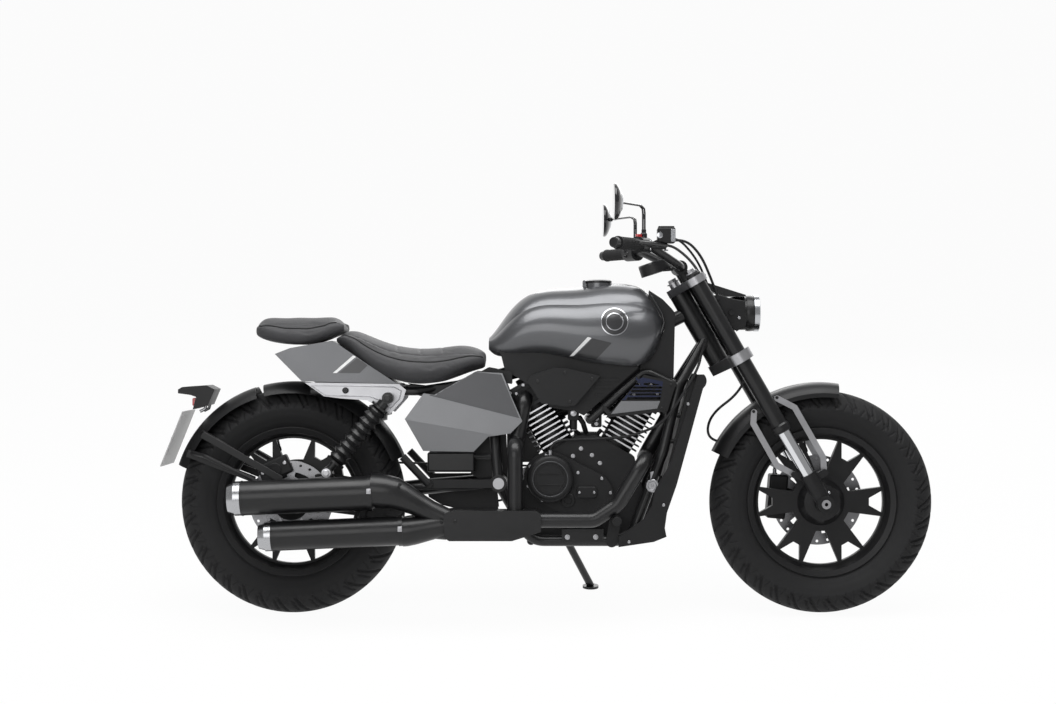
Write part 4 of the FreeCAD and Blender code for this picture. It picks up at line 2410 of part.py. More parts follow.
# Rebuild, check and write
doc.recompute()
for item in doc.Objects:
    if "Invalid" in item.State or "Error" in item.State:
        raise RuntimeError(f"{item.Label} ({item.Name}) is {item.State}")
for item in SUB_PARTS:
    if item.Shape.isNull() or not item.Shape.isValid() or not item.Shape.Solids:
        raise RuntimeError(f"{item.Label} has no valid solid")

# The part's origin is under the middle of its own box
whole = FreeCAD.BoundBox()
for item in SUB_PARTS:
    whole.add(item.Shape.BoundBox)
centre = Vector(-whole.Center.x, -whole.Center.y, 0)
for item in SUB_PARTS:
    place = item.Placement
    place.Base = place.Base + centre
    item.Placement = place

os.makedirs("parts", exist_ok=True)
for item in SUB_PARTS:
    item.Shape.exportStep(f"parts/{item.Label}.step")


def report(name, place):
    """Prints a place of the finished part, in metres."""
    moved = LEAN.multVec(place) + centre
    metres = [round(part / 1000, 5) for part in moved]
    print(name, metres)


print(f"{len(SUB_PARTS)} sub-parts, box {whole.XLength:.0f} x {whole.YLength:.0f} x {whole.ZMax:.0f} mm")
for name, place in (
    ("front axle", front_axle),
    ("front axle's right end", front_axle + Vector(0, -axle_half - size.axle_head, 0)),
    ("rear axle", rear_axle),
    ("rear axle's left end", rear_axle + Vector(0, rear_axle_half + size.axle_head, 0)),
    ("steering axis", head_point((head_low + head_high) / 2)),
    ("stand pivot", stand_pivot),
    ("cap hinge", hinge),
    ("filler's mouth", cap_place),
    ("plate's middle, rear face", plate_top + plate_tilt.multVec(Vector(-size.plate_thickness, 0, -size.plate_height / 2))),
):
    report(name, place)
for name, way in (
    ("steering axis", head_axis),
    ("wheel axes", ALONG_Y),
    ("stand axis", stand_axis),
    ("upright", ALONG_Z),
    ("plate's rear face", plate_tilt.multVec(-ALONG_X)),
):
    print(name, "direction", [round(part, 5) for part in LEAN.Rotation.multVec(way)])
down_aside = stand_down - stand_axis * stand_axis.dot(stand_down)
folded = stand_down - stand_turned
folded_aside = folded - stand_axis * stand_axis.dot(folded)
print("stand folds by", round(math.degrees(down_aside.getAngle(folded_aside)), 1), "degrees")
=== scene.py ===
import json
from math import asin, atan2, copysign, cos, exp, hypot, pi, radians, sin
import bmesh
import bpy
import numpy as np
from mathutils import Matrix, Vector
from mathutils.bvhtree import BVHTree


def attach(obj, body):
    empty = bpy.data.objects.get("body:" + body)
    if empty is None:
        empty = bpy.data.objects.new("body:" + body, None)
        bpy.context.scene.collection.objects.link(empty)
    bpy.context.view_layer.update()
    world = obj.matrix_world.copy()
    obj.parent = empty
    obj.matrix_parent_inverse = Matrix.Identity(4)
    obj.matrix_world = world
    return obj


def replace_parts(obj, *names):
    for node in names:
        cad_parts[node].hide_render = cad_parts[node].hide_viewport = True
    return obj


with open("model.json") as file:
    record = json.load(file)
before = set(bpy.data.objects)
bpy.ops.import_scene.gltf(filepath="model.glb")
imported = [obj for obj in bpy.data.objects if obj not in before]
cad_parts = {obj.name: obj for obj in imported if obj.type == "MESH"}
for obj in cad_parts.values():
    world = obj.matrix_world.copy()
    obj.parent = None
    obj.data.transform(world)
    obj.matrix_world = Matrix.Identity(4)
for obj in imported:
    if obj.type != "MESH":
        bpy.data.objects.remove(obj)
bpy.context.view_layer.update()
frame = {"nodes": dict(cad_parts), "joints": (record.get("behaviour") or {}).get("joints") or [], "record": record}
nodes = frame["nodes"]


def moved(place, angle, axis="Y"):
    """A frame at a place, turned there by degrees."""
    return Matrix.Translation(Vector(place)) @ Matrix.Rotation(radians(angle), 4, axis)


# The machine leans to its left on its stand; UPRIGHT turns its own axes, in millimetres, into the row frame
LEAN = radians(9)
FRONT_AXLE = (760, 0, 319.85)
REAR_AXLE = (-760, 0, 323.0)
front_joint = [j for j in frame["joints"] if j["name"] == "front_wheel_spin"][0]
lean_turn = Matrix.Rotation(-LEAN, 4, "X")
millimetres = Matrix.Scale(0.001, 4)
to_row = Vector(front_joint["pos_m"]) - (lean_turn @ millimetres @ Vector(FRONT_AXLE))
UPRIGHT = Matrix.Translation(to_row) @ lean_turn @ millimetres
FROM_ROW = UPRIGHT.inverted()
FORK = UPRIGHT @ moved(FRONT_AXLE, -30)
CRANK = (85, 0, 340)
CLUTCH = (-21, 393)
LAMP = (581, 0, 863)
VEE_HALF = 30
FIN_HALF = 60
FIN_CORNER_CUT = 18.6
FIN_TOP = 299.5

# The photograph: its scale, its middle, and the place in the middle plane that the middle shows
MM_PER_PIXEL = 2.89
MIDDLE_PIXEL = (528, 352)
MIDDLE_PLACE = (-83.8, 751.4)
CAMERA_DISTANCE = 6000

RIGHT, LEFT, AHEAD, BACK, UP, DOWN = (0, -1, 0), (0, 1, 0), (1, 0, 0), (-1, 0, 0), (0, 0, 1), (0, 0, -1)
UPWARD_BLOCK = (AHEAD, UP, LEFT)
REARWARD_BLOCK = (UP, BACK, LEFT)
SIDES = (-1, 1)
SIDE_WORDS = ((-1, "right"), (1, "left"))
SATIN, CASTING, FRAME_BLACK, STEEL = "satin_aluminium", "black_casting", "black_frame", "badge_steel"
WHITE = (1, 1, 1, 1)


# Material helpers
class Tree:
    """A node tree, with short ways to add to it."""

    def __init__(self, tree):
        self.tree = tree

    def feed(self, socket, value):
        """Gives a socket a value, or links it to another socket."""
        if isinstance(value, bpy.types.NodeSocket):
            self.tree.links.new(value, socket)
        else:
            socket.default_value = value

    def new(self, kind, sockets=(), **values):
        """A node with its settings, and with what its sockets take."""
        node = self.tree.nodes.new("ShaderNode" + kind)
        for name, value in values.items():
            setattr(node, name, value)
        for name, value in dict(sockets).items():
            self.feed(node.inputs[name], value)
        return node

    def math(self, kind, *values):
        return self.new("Math", enumerate(values), operation=kind).outputs[0]


class Shader(Tree):
    """A node tree round one Principled shader."""

    def __init__(self, name, base, rough, metal=0.0):
        self.material = bpy.data.materials.new(name)
        self.material.use_nodes = True
        super().__init__(self.material.node_tree)
        self.main = self.tree.nodes["Principled BSDF"]
        self.give({"Base Color": (*base, 1), "Roughness": rough, "Metallic": metal})
        self.material.diffuse_color = (*base, 1)
        self.place = self.new("TexCoord").outputs["Object"]

    def give(self, inputs):
        for name, value in inputs.items():
            self.feed(self.main.inputs[name], value)

    def noise(self, size, detail=4, rough=0.6, source=None):
        sockets = {"Scale": 1 / size, "Detail": detail, "Roughness": rough, "Vector": source or self.place}
        return self.new("TexNoise", sockets).outputs["Fac"]

    def ramp(self, source, low, high, start, end):
        sockets = {"Value": source, "From Min": low, "From Max": high, "To Min": start, "To Max": end}
        return self.new("MapRange", sockets).outputs["Result"]

    def mix(self, share, first, second):
        node = self.new("Mix", {"Factor": share}, data_type="RGBA")
        for name, value in (("A", first), ("B", second)):
            socket = [s for s in node.inputs if s.name == name and s.type == "RGBA"][0]
            self.feed(socket, (*value, 1) if isinstance(value, tuple) else value)
        return [s for s in node.outputs if s.type == "RGBA"][0]

    def bump(self, source, depth, strength):
        """Adds a bump on top of those that are there."""
        node = self.new("Bump", {"Strength": strength, "Distance": depth, "Height": source})
        normal = self.main.inputs["Normal"]
        if normal.is_linked:
            self.feed(node.inputs["Normal"], normal.links[0].from_socket)
        self.feed(normal, node.outputs["Normal"])

    def done(self, colour, rough, coat=0.0, coat_rough=0.0):
        self.give({"Base Color": colour, "Roughness": rough})
        if coat:
            self.give({"Coat Weight": coat, "Coat Roughness": coat_rough})
        return self.material


def tinted(base, factor):
    return tuple(min(1, max(0, part * factor)) for part in base)


def paint(name, base, rough, metal, coat=0.6):
    """Metallic paint: fine flakes, a soft clear coat and a slight change of tone."""
    s = Shader(name, base, rough, metal)
    flakes, soft = s.noise(0.00035, 2), s.noise(0.12, 3)
    tone = s.mix(s.ramp(flakes, 0.35, 0.65, 0, 1), tinted(base, 0.82), tinted(base, 1.22))
    tone = s.mix(s.ramp(soft, 0.3, 0.7, 0, 0.06), tone, tinted(base, 0.6))
    s.bump(flakes, 0.000015, 0.25)
    return s.done(tone, s.ramp(soft, 0.3, 0.7, rough * 0.92, rough * 1.1), coat, 0.12)


def dull(name, base, rough, metal, grain, wide, tone, wear, bump, coat=(0.0, 0.0)):
    """A dull surface: a fine grain, slow changes of tone and gloss, and a coat where it has one."""
    s = Shader(name, base, rough, metal)
    s.give({"Specular IOR Level": 0.3})
    fine, slow = s.noise(*grain), s.noise(*wide)
    high, most, factor = tone
    s.bump(fine, *bump)
    gloss = s.ramp(slow, 0.3, 0.7, rough * wear[0], min(1, rough * wear[1]))
    return s.done(s.mix(s.ramp(slow, 0.35, high, 0, most), base, tinted(base, factor)), gloss, *coat)


def cast(name, base, rough, metal=0.0, coat=0.0):
    """Powder-coated or sand-cast metal: a fine grain, and lighter dusty patches at random."""
    return dull(name, base, rough, metal, (0.0012, 3), (0.05, 4), (0.7, 0.5, 1.5), (0.85, 1.2),
                (0.00012, 0.5), (coat, 0.2))


def plastic(name, base, rough, depth=0.00005, coat=0.0):
    """Moulded plastic with a fine eroded texture."""
    return dull(name, base, rough, 0.0, (0.0008, 2), (0.07, 3), (0.7, 0.6, 1.35), (0.9, 1.12),
                (depth, 0.5), (coat, 0.08))


def rubber(name, base, rough):
    """Matte rubber with a little bloom."""
    return dull(name, base, rough, 0.0, (0.0018, 3), (0.035, 4), (0.75, 0.7, 1.7), (0.88, 1.08), (0.00008, 0.6))


def brushed(name, base, rough, along=(1, 1, 1), polish=0.0):
    """Bare metal with fine drawn lines."""
    s = Shader(name, base, rough, 1.0)
    stretched = s.new("Mapping", {"Scale": along, "Vector": s.place}).outputs["Vector"]
    lines, wide = s.noise(0.0015, 4, 0.7, stretched), s.noise(0.04, 3)
    s.bump(lines, 0.00002, 0.35)
    gloss = s.math("ADD", s.ramp(lines, 0.3, 0.7, rough * 0.8, rough * 1.15), s.ramp(wide, 0.3, 0.7, -0.03, 0.04))
    return s.done(s.mix(s.ramp(lines, 0.3, 0.7, 0, 1), tinted(base, 0.9), tinted(base, 1.08)), gloss, polish, 0.05)


def grained_cover(name, base, rough):
    """Grained vinyl: small cells with creases between them."""
    s = Shader(name, base, rough)
    sockets = {"Scale": 520, "Smoothness": 0.35, "Vector": s.place}
    crease = s.new("TexVoronoi", sockets, feature="SMOOTH_F1").outputs["Distance"]
    fine, wide = s.noise(0.0006, 3), s.noise(0.05, 4)
    s.bump(crease, -0.00022, 0.55)
    s.bump(fine, 0.00006, 0.4)
    s.give({"Sheen Weight": 0.12})
    tone = s.mix(s.ramp(wide, 0.35, 0.7, 0, 0.8), base, tinted(base, 1.45))
    return s.done(tone, s.ramp(crease, 0.0, 0.7, rough * 0.86, rough * 1.1))


def glass(name, base, rough):
    """Clear moulded glass with faint ripples."""
    s = Shader(name, base, rough)
    s.give({"Transmission Weight": 0.92, "IOR": 1.45})
    ripple = s.noise(0.012, 2)
    s.bump(ripple, 0.00003, 0.3)
    return s.done((*base, 1), s.ramp(ripple, 0.3, 0.7, rough, rough * 1.6))


def finned(name, base, rough, matrix):
    """Black casting whose fin edges are cut bright, in a cylinder's own axes."""
    s = Shader(name, base, rough)
    place, turned, sized = matrix.inverted().decompose()
    sockets = {"Location": place, "Rotation": turned.to_euler(), "Scale": sized, "Vector": s.place}
    split = s.new("SeparateXYZ", {0: s.new("Mapping", sockets).outputs["Vector"]})
    across, aside = [s.math("ABSOLUTE", split.outputs[axis]) for axis in "XY"]
    corner = s.math("MULTIPLY", s.math("ADD", across, aside), 1 / (2 * FIN_HALF - FIN_CORNER_CUT))
    flat = s.math("MULTIPLY", s.math("MAXIMUM", across, aside), 1 / FIN_HALF)
    bright = s.ramp(s.math("MAXIMUM", flat, corner), 0.985, 0.992, 0, 1)
    bright = s.math("MULTIPLY", bright, s.math("LESS_THAN", split.outputs["Z"], FIN_TOP))
    fine, wide = s.noise(0.001, 3), s.noise(0.03, 4)
    dark = s.mix(s.ramp(wide, 0.35, 0.7, 0, 0.6), base, tinted(base, 1.6))
    s.give({"Metallic": s.math("MAXIMUM", bright, 0.3)})
    s.bump(fine, 0.0001, 0.4)
    gloss = s.ramp(wide, 0.3, 0.7, rough * 0.9, rough * 1.15)
    return s.done(s.mix(bright, dark, (0.62, 0.62, 0.64)),
                  s.math("SUBTRACT", gloss, s.math("MULTIPLY", bright, 0.22)))


MATERIALS = {
    "gunmetal_paint": paint("Gunmetal", (0.1, 0.102, 0.108), 0.35, 0.75),
    "silver_paint": paint("SatinSilver", (0.185, 0.188, 0.195), 0.38, 0.8, coat=0.2),
    "satin_aluminium": brushed("SatinAluminium", (0.43, 0.43, 0.445), 0.36),
    "black_frame": cast("FrameBlack", (0.007, 0.007, 0.0075), 0.36, coat=0.2),
    "black_casting": cast("CastBlack", (0.008, 0.008, 0.0085), 0.48, metal=0.1),
    "fork_chrome": brushed("ForkChrome", (0.72, 0.73, 0.75), 0.1, along=(40, 40, 1)),
    "brushed_cap": brushed("BrushedCap", (0.45, 0.455, 0.47), 0.26, along=(4, 30, 30)),
    "disc_steel": brushed("DiscSteel", (0.27, 0.27, 0.28), 0.3),
    "tyre_rubber": rubber("TyreRubber", (0.009, 0.009, 0.0095), 0.75),
    "black_rubber": rubber("BlackRubber", (0.012, 0.012, 0.0125), 0.7),
    "cushion_cover": grained_cover("CushionCover", (0.022, 0.022, 0.024), 0.58),
    "black_plastic": plastic("BlackPlastic", (0.007, 0.007, 0.0075), 0.42),
    "gloss_plastic": plastic("GlossPlastic", (0.01, 0.01, 0.011), 0.2, depth=0.00001, coat=0.6),
    "lamp_glass": glass("LampGlass", (0.9, 0.92, 0.95), 0.03),
    "red_glass": plastic("RedLens", (0.42, 0.01, 0.012), 0.14, depth=0.00001, coat=0.8),
    "plate_metal": paint("PlateMetal", (0.34, 0.34, 0.34), 0.42, 0.1, coat=0.2),
    "mirror_glass": brushed("MirrorGlass", (0.8, 0.81, 0.83), 0.04),
    "louvre_blue": plastic("LouvreBlue", (0.006, 0.010, 0.036), 0.3, coat=0.3),
    "stripe_white": paint("StripeWhite", (0.72, 0.72, 0.72), 0.4, 0.0, coat=0.5),
    "stripe_dark": paint("StripeDark", (0.02, 0.02, 0.022), 0.35, 0.2, coat=0.5),
    "satin_dark": paint("SatinDark", (0.075, 0.076, 0.08), 0.42, 0.75, coat=0.2),
    "badge_steel": brushed("BadgeSteel", (0.5, 0.51, 0.53), 0.22, polish=0.5),
}
for name, side in (("front_cylinder", 1), ("rear_cylinder", -1)):
    axes = UPRIGHT @ moved(CRANK, side * VEE_HALF)
    MATERIALS[name] = finned("Fins_" + name, (0.02, 0.02, 0.021), 0.5, axes)


def dress(piece, name):
    """Gives a piece one material."""
    piece.data.materials.clear()
    piece.data.materials.append(MATERIALS[name])


def smooth(piece, angle=32):
    """Smooth shading that keeps edges sharper than an angle."""
    piece.data.polygons.foreach_set("use_smooth", [True] * len(piece.data.polygons))
    piece.data.set_sharp_from_angle(angle=radians(angle))


for part in frame["record"]["subparts"]:
    name = part["node"]
    dress(nodes[name], name if name in MATERIALS else part["material_slot"])
    smooth(nodes[name])


def linked(name, data):
    """A new object in the scene."""
    made = bpy.data.objects.new(name, data)
    bpy.context.scene.collection.objects.link(made)
    return made


def new_piece(name, vertices, faces, material, body, matrix=UPRIGHT, angle=35):
    """A mesh piece from points in a frame of millimetres."""
    mesh = bpy.data.meshes.new(name)
    mesh.from_pydata([tuple(matrix @ Vector(point)) for point in vertices], [], faces)
    mesh.validate()
    piece = linked(name, mesh)
    bm = bmesh.new()
    bm.from_mesh(mesh)
    bmesh.ops.recalc_face_normals(bm, faces=bm.faces)
    bm.to_mesh(mesh)
    bm.free()
    dress(piece, material)
    smooth(piece, angle)
    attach(piece, body)
    return piece


# Tyres with a block tread, in place of the plain ones
TYRE_WALL = 13
RIM_EDGE = 203.3
RIM_FLANGE = 215.3
TREAD_ROWS = 60
TREAD_PITCHES = 34
TREAD_DEPTH = 5.5
AROUND = 840
SIDEWALL_ROWS = 12


def arc_points(start, middle, end, count):
    """Points along the arc through three places."""
    (ax, ay), (bx, by), (cx, cy) = start, middle, end
    d = 2 * (ax * (by - cy) + bx * (cy - ay) + cx * (ay - by))
    a, b, c = [x ** 2 + y ** 2 for x, y in (start, middle, end)]
    ux = (a * (by - cy) + b * (cy - ay) + c * (ay - by)) / d
    uy = (a * (cx - bx) + b * (ax - cx) + c * (bx - ax)) / d
    first, mid, last = [atan2(y - uy, x - ux) for x, y in (start, middle, end)]
    span = (last - first) % (2 * pi)
    if (mid - first) % (2 * pi) > span:
        span -= 2 * pi
    radius = hypot(ax - ux, ay - uy)
    return [(ux + radius * cos(first + span * k / count), uy + radius * sin(first + span * k / count))
            for k in range(count + 1)]


def smoothstep(low, high, value):
    share = np.clip((value - low) / (high - low), 0, 1)
    return share * share * (3 - 2 * share)


def cut(low, high, phase):
    """A groove in each pitch of a phase: 1 in its middle and 0 outside it."""
    return 1 - smoothstep(low, high, np.abs((phase % 1) - 0.5) * 2)


def make_tyre(label, node, radius, width, crown_radius, rim_width, axle, body):
    """Rings round the axle, with three kinds of grooves in the crown and two raised lines on each wall."""
    half = width / 2
    crown = radius - crown_radius
    shoulder = asin(half / crown_radius)
    edge = crown + crown_radius * cos(shoulder)
    bead = rim_width / 2 - 6.3
    middle = ((RIM_FLANGE + edge) / 2, (bead + half) / 2 + TYRE_WALL / 3)
    outer = [(RIM_EDGE, bead)] + arc_points((RIM_FLANGE, bead), middle, (edge, half), SIDEWALL_ROWS)[:-1]
    shares = [1 - 2 * k / TREAD_ROWS for k in range(TREAD_ROWS + 1)]
    tread = [(crown + crown_radius * cos(shoulder * s), crown_radius * sin(shoulder * s)) for s in shares]
    inner = crown_radius - TYRE_WALL
    lip = TYRE_WALL - bead
    inside = arc_points((crown, -inner), (crown + inner, 0), (crown, inner), 16)
    profile = outer + tread + [(r, -y) for r, y in reversed(outer)]
    profile += [(RIM_EDGE, lip), (RIM_FLANGE, lip)] + inside + [(RIM_FLANGE, -lip), (RIM_EDGE, -lip)]
    theta = np.arange(AROUND) * 2 * pi / AROUND
    radii, ys = [np.array(column)[:, None] * np.ones(AROUND) for column in zip(*profile)]
    for row, share in enumerate(shares, len(outer)):
        s = abs(share)
        phase = theta * TREAD_PITCHES / (2 * pi) + (0.5 if share > 0 else 0.0)
        swept = phase + 0.85 * s ** 1.4
        main = cut(0.10, 0.20, swept) * smoothstep(0.07, 0.14, s) * (1 - smoothstep(0.90, 1.0, s))
        second = cut(0.07, 0.15, swept + 0.5 - 0.25 * s) * smoothstep(0.40, 0.48, s) * (1 - smoothstep(0.80, 0.9, s))
        third = cut(0.12, 0.22, phase * 2 - 1.1 * s) * smoothstep(0.72, 0.78, s)
        depth = np.minimum(TREAD_DEPTH * main + (4.0 * second + 2.2 * third) * (1 - main), TREAD_DEPTH)
        radii[row] -= depth * cos(shoulder * share)
        ys[row] -= depth * sin(shoulder * share)
    for k in range(1, SIDEWALL_ROWS):
        share = k / SIDEWALL_ROWS
        line = 0.9 * exp(-((share - 0.42) / 0.05) ** 2) + 0.7 * exp(-((share - 0.80) / 0.05) ** 2)
        ys[1 + k] -= line
        ys[2 * len(outer) + len(tread) - 2 - k] += line
    places = [radii * np.cos(theta) + axle[0], ys + axle[1], radii * np.sin(theta) + axle[2]]
    points = np.stack(places, axis=-1).reshape(-1, 3)
    rows = len(profile)
    faces = []
    for i in range(rows):
        here, there = i * AROUND, (i + 1) % rows * AROUND
        for j in range(AROUND):
            after = (j + 1) % AROUND
            faces.append((here + j, here + after, there + after, there + j))
    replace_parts(new_piece(label, points.tolist(), faces, "tyre_rubber", body, angle=50), node)


make_tyre("front_tyre_tread", "front_tyre", 320, 130, 67, 88, FRONT_AXLE, "front_wheel")
make_tyre("rear_tyre_tread", "rear_tyre", 323, 150, 79, 112, REAR_AXLE, "rear_wheel")

# Soft cushions: swollen a little by a cloth simulation, then sewn and piped
VOXEL = 0.005
SHRINK = 0.0022
PRESSURE = 3.0
CLOTH_FRAMES = 16
CHANNEL_WIDTH = 4.5


def tree_of(mesh):
    """A search tree over a mesh, in the row frame."""
    return BVHTree.FromPolygons([v.co for v in mesh.vertices], [tuple(p.vertices) for p in mesh.polygons])


def apply_modifiers(piece):
    """Turns a piece's modifiers into its own mesh."""
    depsgraph = bpy.context.evaluated_depsgraph_get()
    mesh = bpy.data.meshes.new_from_object(piece.evaluated_get(depsgraph))
    piece.modifiers.clear()
    piece.data = mesh


def coordinates(mesh):
    flat = np.zeros(len(mesh.vertices) * 3)
    mesh.vertices.foreach_get("co", flat)
    return flat.reshape(-1, 3)


def swell(piece, cap):
    """Blows the cover up by cloth simulation, moving no point further than the cap."""
    rest = coordinates(piece.data)
    cloth = piece.modifiers.new("Cloth", "CLOTH")
    settings = cloth.settings
    settings.use_pressure = True
    settings.uniform_pressure_force = PRESSURE
    settings.tension_stiffness = 30
    settings.compression_stiffness = 30
    settings.bending_stiffness = 4
    settings.effector_weights.gravity = 0
    cloth.point_cache.frame_start = 1
    cloth.point_cache.frame_end = CLOTH_FRAMES
    scene = bpy.context.scene
    for number in range(1, CLOTH_FRAMES + 1):
        scene.frame_set(number)
    solved = coordinates(piece.evaluated_get(bpy.context.evaluated_depsgraph_get()).data)
    piece.modifiers.remove(cloth)
    scene.frame_set(1)
    shift = solved - rest
    length = np.linalg.norm(shift, axis=1, keepdims=True)
    shift *= np.minimum(1, cap / np.maximum(length, 1e-9))
    piece.data.vertices.foreach_set("co", (rest + shift).ravel())
    piece.data.update()


def cushion(label, node, cap):
    """A cushion in the space of its CAD solid, with a crowned cover."""
    piece = linked(label, nodes[node].data.copy())
    piece.data.materials.clear()
    bm = bmesh.new()
    bm.from_mesh(piece.data)
    bmesh.ops.remove_doubles(bm, verts=bm.verts, dist=0.00002)
    bm.to_mesh(piece.data)
    bm.free()
    remesh = piece.modifiers.new("Remesh", "REMESH")
    remesh.mode = "VOXEL"
    remesh.voxel_size = VOXEL
    apply_modifiers(piece)
    bm = bmesh.new()
    bm.from_mesh(piece.data)
    bm.normal_update()
    for vertex in bm.verts:
        vertex.co -= vertex.normal * SHRINK
    for _ in range(4):
        bmesh.ops.smooth_vert(bm, verts=bm.verts, factor=0.5, use_axis_x=True, use_axis_y=True, use_axis_z=True)
    bm.to_mesh(piece.data)
    bm.free()
    swell(piece, cap)
    return piece


def channels(piece, lines, depth):
    """Sewn channels: presses the upper side in where the lines, of upright X and Y, say so."""
    mesh = piece.data
    mesh.update()
    for vertex in mesh.vertices:
        place = FROM_ROW @ vertex.co
        normal = FROM_ROW.to_3x3() @ vertex.normal
        press = lines(place.x, place.y)
        if normal.z >= 0.25 * normal.length and press > 0:
            vertex.co -= vertex.normal * depth * press
    mesh.update()


def groove(distance):
    """How deep a channel is at a distance from its middle, from 0 to 1."""
    return (1 - min(1.0, abs(distance) / CHANNEL_WIDTH)) ** 2


def rider_lines(x, y):
    """A line along each edge, and three bowed ones across."""
    edge = 92 - 34 * max(0, (x + 420) / 220) ** 2 - 16 * max(0, (-420 - x) / 180) ** 2
    along = groove(abs(y) - edge) if -585 < x < -215 else 0.0
    across = [groove(x - at - 0.0009 * y * y) for at in (-330, -395, -460)] if abs(y) < 84 else [0.0]
    return max(along, *across)


def pillion_lines(x, y):
    return groove(abs(y) - 84) if -845 < x < -650 else 0.0


def finish_cushion(piece, node):
    dress(piece, "cushion_cover")
    finer = piece.modifiers.new("Subdivision", "SUBSURF")
    finer.levels = finer.render_levels = 1
    piece.data.polygons.foreach_set("use_smooth", [True] * len(piece.data.polygons))
    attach(piece, "chassis")
    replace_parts(piece, node)


rider = cushion("rider_saddle", "rider_cushion", 0.004)
pillion = cushion("pillion_pad", "pillion_cushion", 0.003)
channels(rider, rider_lines, 0.0035)
channels(pillion, pillion_lines, 0.003)
finish_cushion(rider, "rider_cushion")
finish_cushion(pillion, "pillion_cushion")


# Flat marks laid on the painted surfaces, from their outline seen from the side
def side_hit(tree, x, z, side):
    """Where a line across the machine at upright X and Z first meets a surface, from one side."""
    way = (UPRIGHT.to_3x3() @ Vector((0, -side, 0))).normalized()
    return tree.ray_cast(UPRIGHT @ Vector((x, side * 700, z)), way)[:2]


def px(x, z, across=0):
    """Upright X and Z in millimetres, from a pixel of the photograph and a distance towards the camera."""
    k = MM_PER_PIXEL * (1 - across / CAMERA_DISTANCE)
    return (k * (x - MIDDLE_PIXEL[0]) + MIDDLE_PLACE[0], MIDDLE_PLACE[1] - k * (z - MIDDLE_PIXEL[1]))


def outline_px(across, pixels):
    return [px(x, z, across) for x, z in pixels]


def circle(centre, radius, angles):
    """Places of X and Z round a centre."""
    return [(centre[0] + radius * cos(a), centre[1] + radius * sin(a)) for a in angles]


def laid_on(label, outline, node, material, side, lift=0.5, step=5, inner=None):
    """A thin skin over a surface, inside an outline of upright X and Z."""
    tree = tree_of(nodes[node].data)
    bm = bmesh.new()
    ring = [bm.verts.new((x, 0, z)) for x, z in outline]
    if inner is None:
        bm.faces.new(ring)
    else:
        hole = [bm.verts.new((x, 0, z)) for x, z in inner]
        for k in range(len(ring)):
            after = (k + 1) % len(ring)
            bm.faces.new((ring[k], ring[after], hole[after], hole[k]))
    bmesh.ops.triangulate(bm, faces=bm.faces)
    for _ in range(9):
        long_edges = [e for e in bm.edges if e.calc_length() > step]
        if not long_edges:
            break
        bmesh.ops.subdivide_edges(bm, edges=long_edges, cuts=1)
        bmesh.ops.triangulate(bm, faces=bm.faces)
    lost = []
    for vertex in bm.verts:
        hit, normal = side_hit(tree, vertex.co.x, vertex.co.z, side)
        if hit is None:
            lost.append(vertex)
            continue
        way = (FROM_ROW.to_3x3() @ normal).normalized()
        vertex.co = FROM_ROW @ hit + (way if way.y * side > 0 else -way) * lift
    bmesh.ops.delete(bm, geom=lost, context="VERTS")
    mesh = bpy.data.meshes.new(label)
    bm.to_mesh(mesh)
    bm.free()
    mesh.transform(UPRIGHT)
    piece = linked(label, mesh)
    solid = piece.modifiers.new("Solidify", "SOLIDIFY")
    solid.thickness = 0.0004
    solid.offset = 0
    apply_modifiers(piece)
    dress(piece, material)
    smooth(piece, 50)
    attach(piece, "chassis")


TANK_SIDE = 138
ROUND = [a * pi / 32 for a in range(64)]
DISC_RINGS = (
    (39, 36, STEEL, 1.6), (36, 25, "stripe_dark", 1.0), (25, 22.5, STEEL, 1.6), (22.5, 0, "stripe_dark", 1.0),
)
disc_centre = px(614.6, 321.8, TANK_SIDE)


def lay_marks(side, word, node, across, lift, step, *marks):
    """Marks on one node: each has a name, a material and the pixels of its corners."""
    for label, material, *pixels in marks:
        laid_on(f"{label}_{word}", outline_px(across, pixels), node, material, side, lift, step)


for side, word in SIDE_WORDS:
    lay_marks(side, word, "fuel_tank", TANK_SIDE, 0.5, 5,
              ("tank_stripe", "stripe_white", (587.7, 337), (591.5, 338), (573.8, 355.9), (569.8, 356.2)),
              ("tank_block", "stripe_dark", (592.5, 338.3), (611.8, 342.8), (595.7, 360.0), (575.5, 355.9)))
    for number, (outer_r, inner_r, material, lift) in enumerate(DISC_RINGS):
        rim, hole = [circle(disc_centre, r, ROUND) if r else None for r in (outer_r, inner_r)]
        laid_on(f"tank_disc_{number}_{word}", rim, "fuel_tank", material, side, lift, 6, hole)
    lay_marks(side, word, "tail_cowl", 108, 0.5, 5,
              ("cowl_stripe", "stripe_white", (354.4, 354.4), (357.4, 355.6), (336.8, 373), (333.0, 373)),
              ("cowl_block", "stripe_dark", (358.6, 356.8), (368.5, 364.6), (359.8, 373.2), (338.8, 373)))


# Small parts: meshes built up from turned shapes, bars and rounded blocks
def frame_of(axis):
    """An axis and two directions square to it."""
    axis = Vector(axis).normalized()
    other = Vector(UP) if abs(axis.z) < 0.9 else Vector(AHEAD)
    first = axis.cross(other).normalized()
    return axis, first, axis.cross(first).normalized()


